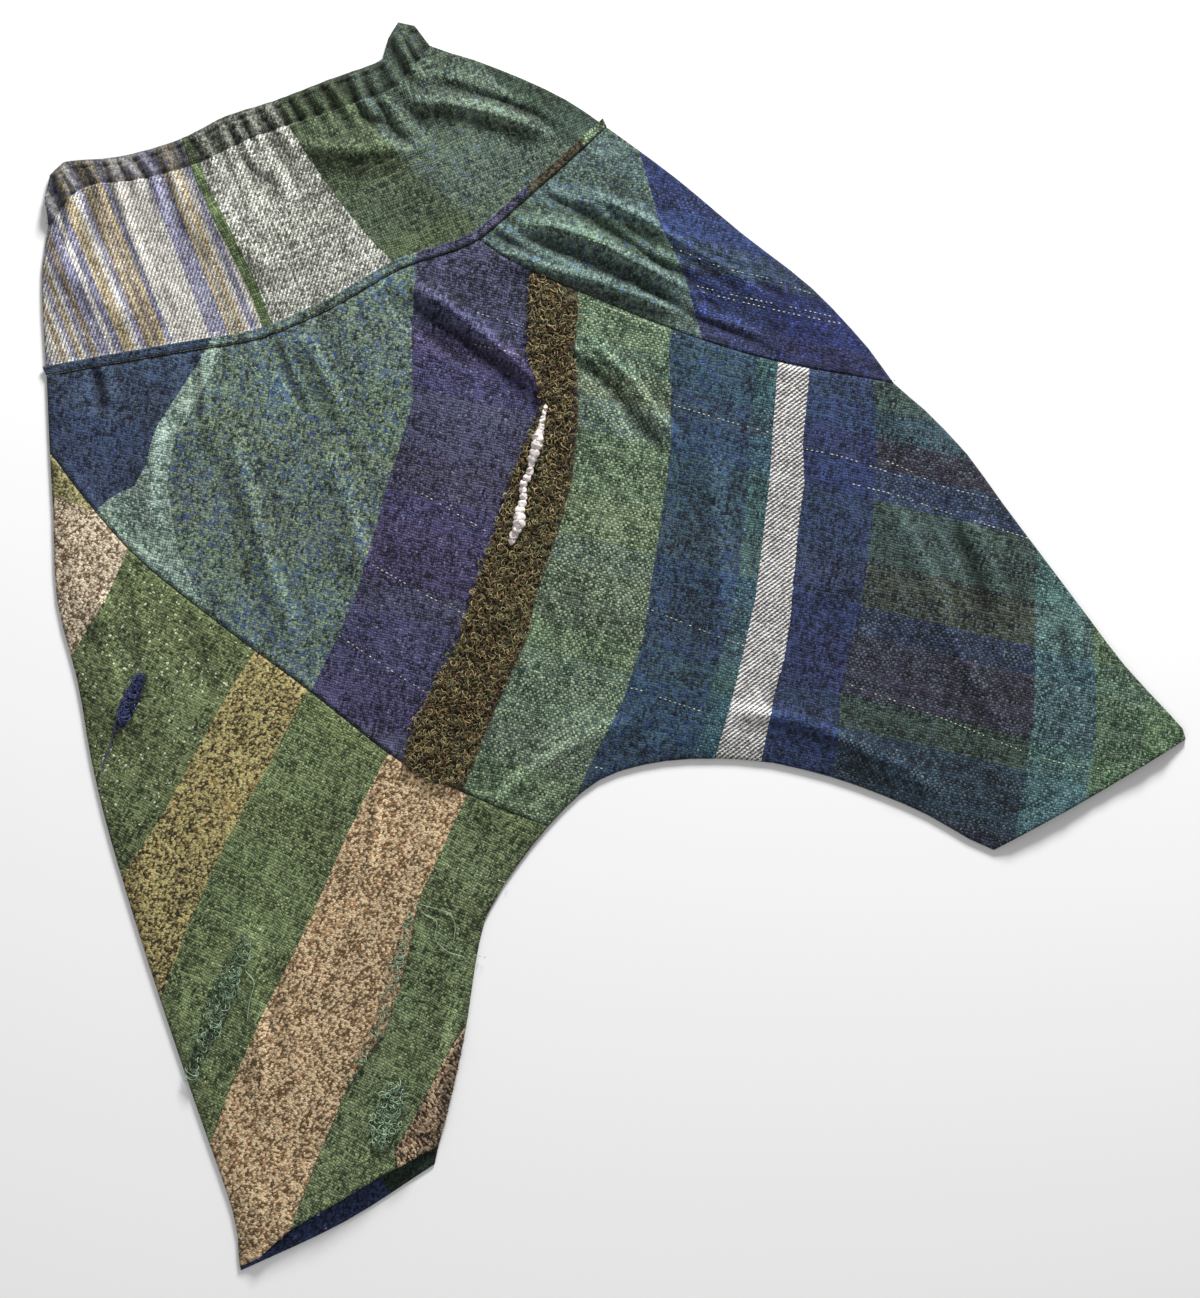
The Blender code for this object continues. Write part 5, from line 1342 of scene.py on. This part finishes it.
def loop_paths(loops):
    """Loops of yarn that leave a line, swing out to one side of it and come back."""
    chance = random.Random(loops.seed)
    line = smooth_line(loops.path, 1.5)
    run = np.gradient(line, axis=0)
    side = np.column_stack([run[:, 1], -run[:, 0]]) / np.hypot(run[:, 0], run[:, 1])[:, None] * loops.side
    ahead = run / np.hypot(run[:, 0], run[:, 1])[:, None]
    paths = []
    for _ in range(loops.count):
        start = chance.randrange(len(line))
        out, forth = loops.reach * chance.uniform(0.5, 1.3), loops.long * chance.uniform(0.4, 1.2)
        turn, curl = chance.uniform(0.35, 0.95), chance.uniform(-0.5, 0.8)
        steps = np.linspace(0, math.pi * (0.8 + turn), 13)
        place = (line[start] + np.outer(np.sin(steps) * out, side[start])
                 + np.outer((1 - np.cos(steps)) / 2 * forth * (1 - curl * steps / 6), ahead[start]))
        lift = 1.2 + 2.6 * np.sin(steps / steps[-1] * math.pi) * chance.uniform(0.4, 1.1)
        paths.append((place, lift))
    return paths


for node, slot in (("frayed_slit", "green_threads"), ("frayed_ridge", "green_threads"),
                   ("hem_tuft", "green_threads"), ("navy_yarn", "navy_threads")):
    looped = [path for loops in FRAYS if loops.node == node for path in loop_paths(loops)]
    loose = [(smooth_line(end.path, 3.0), None) for end in LOOSE_ENDS if end.node == node]
    tubes = []
    for place, lift in looped + loose:
        over = front_surface(place) + (1.6 if lift is None else lift) + TRIM_LIFT
        tubes.append(np.column_stack([place, over]))
    points, loops_faces = thread_tubes(tubes, next(loops.thick for loops in FRAYS if loops.node == node))
    mesh = bpy.data.meshes.new(node + "_loops")
    mesh.from_pydata(points, [], loops_faces)
    ends_shape = bmesh.new()
    ends_shape.from_mesh(mesh)
    bmesh.ops.recalc_face_normals(ends_shape, faces=ends_shape.faces[:])
    ends_shape.to_mesh(mesh)
    ends_shape.free()
    mesh.shade_smooth()
    mesh.materials.append(fray_paints[slot])
    ends = bpy.data.objects.new(node + "_loops", mesh)
    bpy.context.scene.collection.objects.link(ends)
    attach(ends, "root")
    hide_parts(node)

# At the inner edge of the left hem a strip of coarse brown and white tweed is folded over on to
# the front and left raw.
TURNED_SECTIONS = [
    Section((-192, 779), (-176, 790)), Section((-225, 797), (-205, 820)), Section((-262, 823), (-225, 855)),
    Section((-293, 842), (-240, 870)), Section((-300, 862), (-250, 880)),
]
TURNED_PITCH = 1.6
tweed = [Stripe("brown tweed", dye(.14, .09, .05), dye(.68, .59, .48), dye(.44, .31, .19), 0.16, 0.9, 0, 0, 0.0)]
tweed_cloth = weave_cloth("brown and white tweed", tweed, [(-1.0, dye(.5, .4, .3)), (1.0, dye(.5, .4, .3))])
turned_shape = strip_outline(TURNED_SECTIONS)
places, faces = cut_lattice(turned_shape, TURNED_PITCH)
keep = inside(places[faces].mean(1), leg_outline)
faces = faces[keep]
used, faces = np.unique(faces, return_inverse=True)
places, faces = places[used], faces.reshape(-1, 4)
turned = make_cloth("turned_tweed_edge", places, faces,
                    front_surface(places) + TRIM_LIFT + TRIM_THICK + 0.4 * crumple(places, 10, 7, 0.6, 13.0),
                    tweed_cloth, math.radians(60), np.full(len(places), 0.5), 1.0)
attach(turned, "root")
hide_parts("leg_turned_edge")

for lock in locks:
    bpy.data.objects.remove(lock, do_unlink=True)
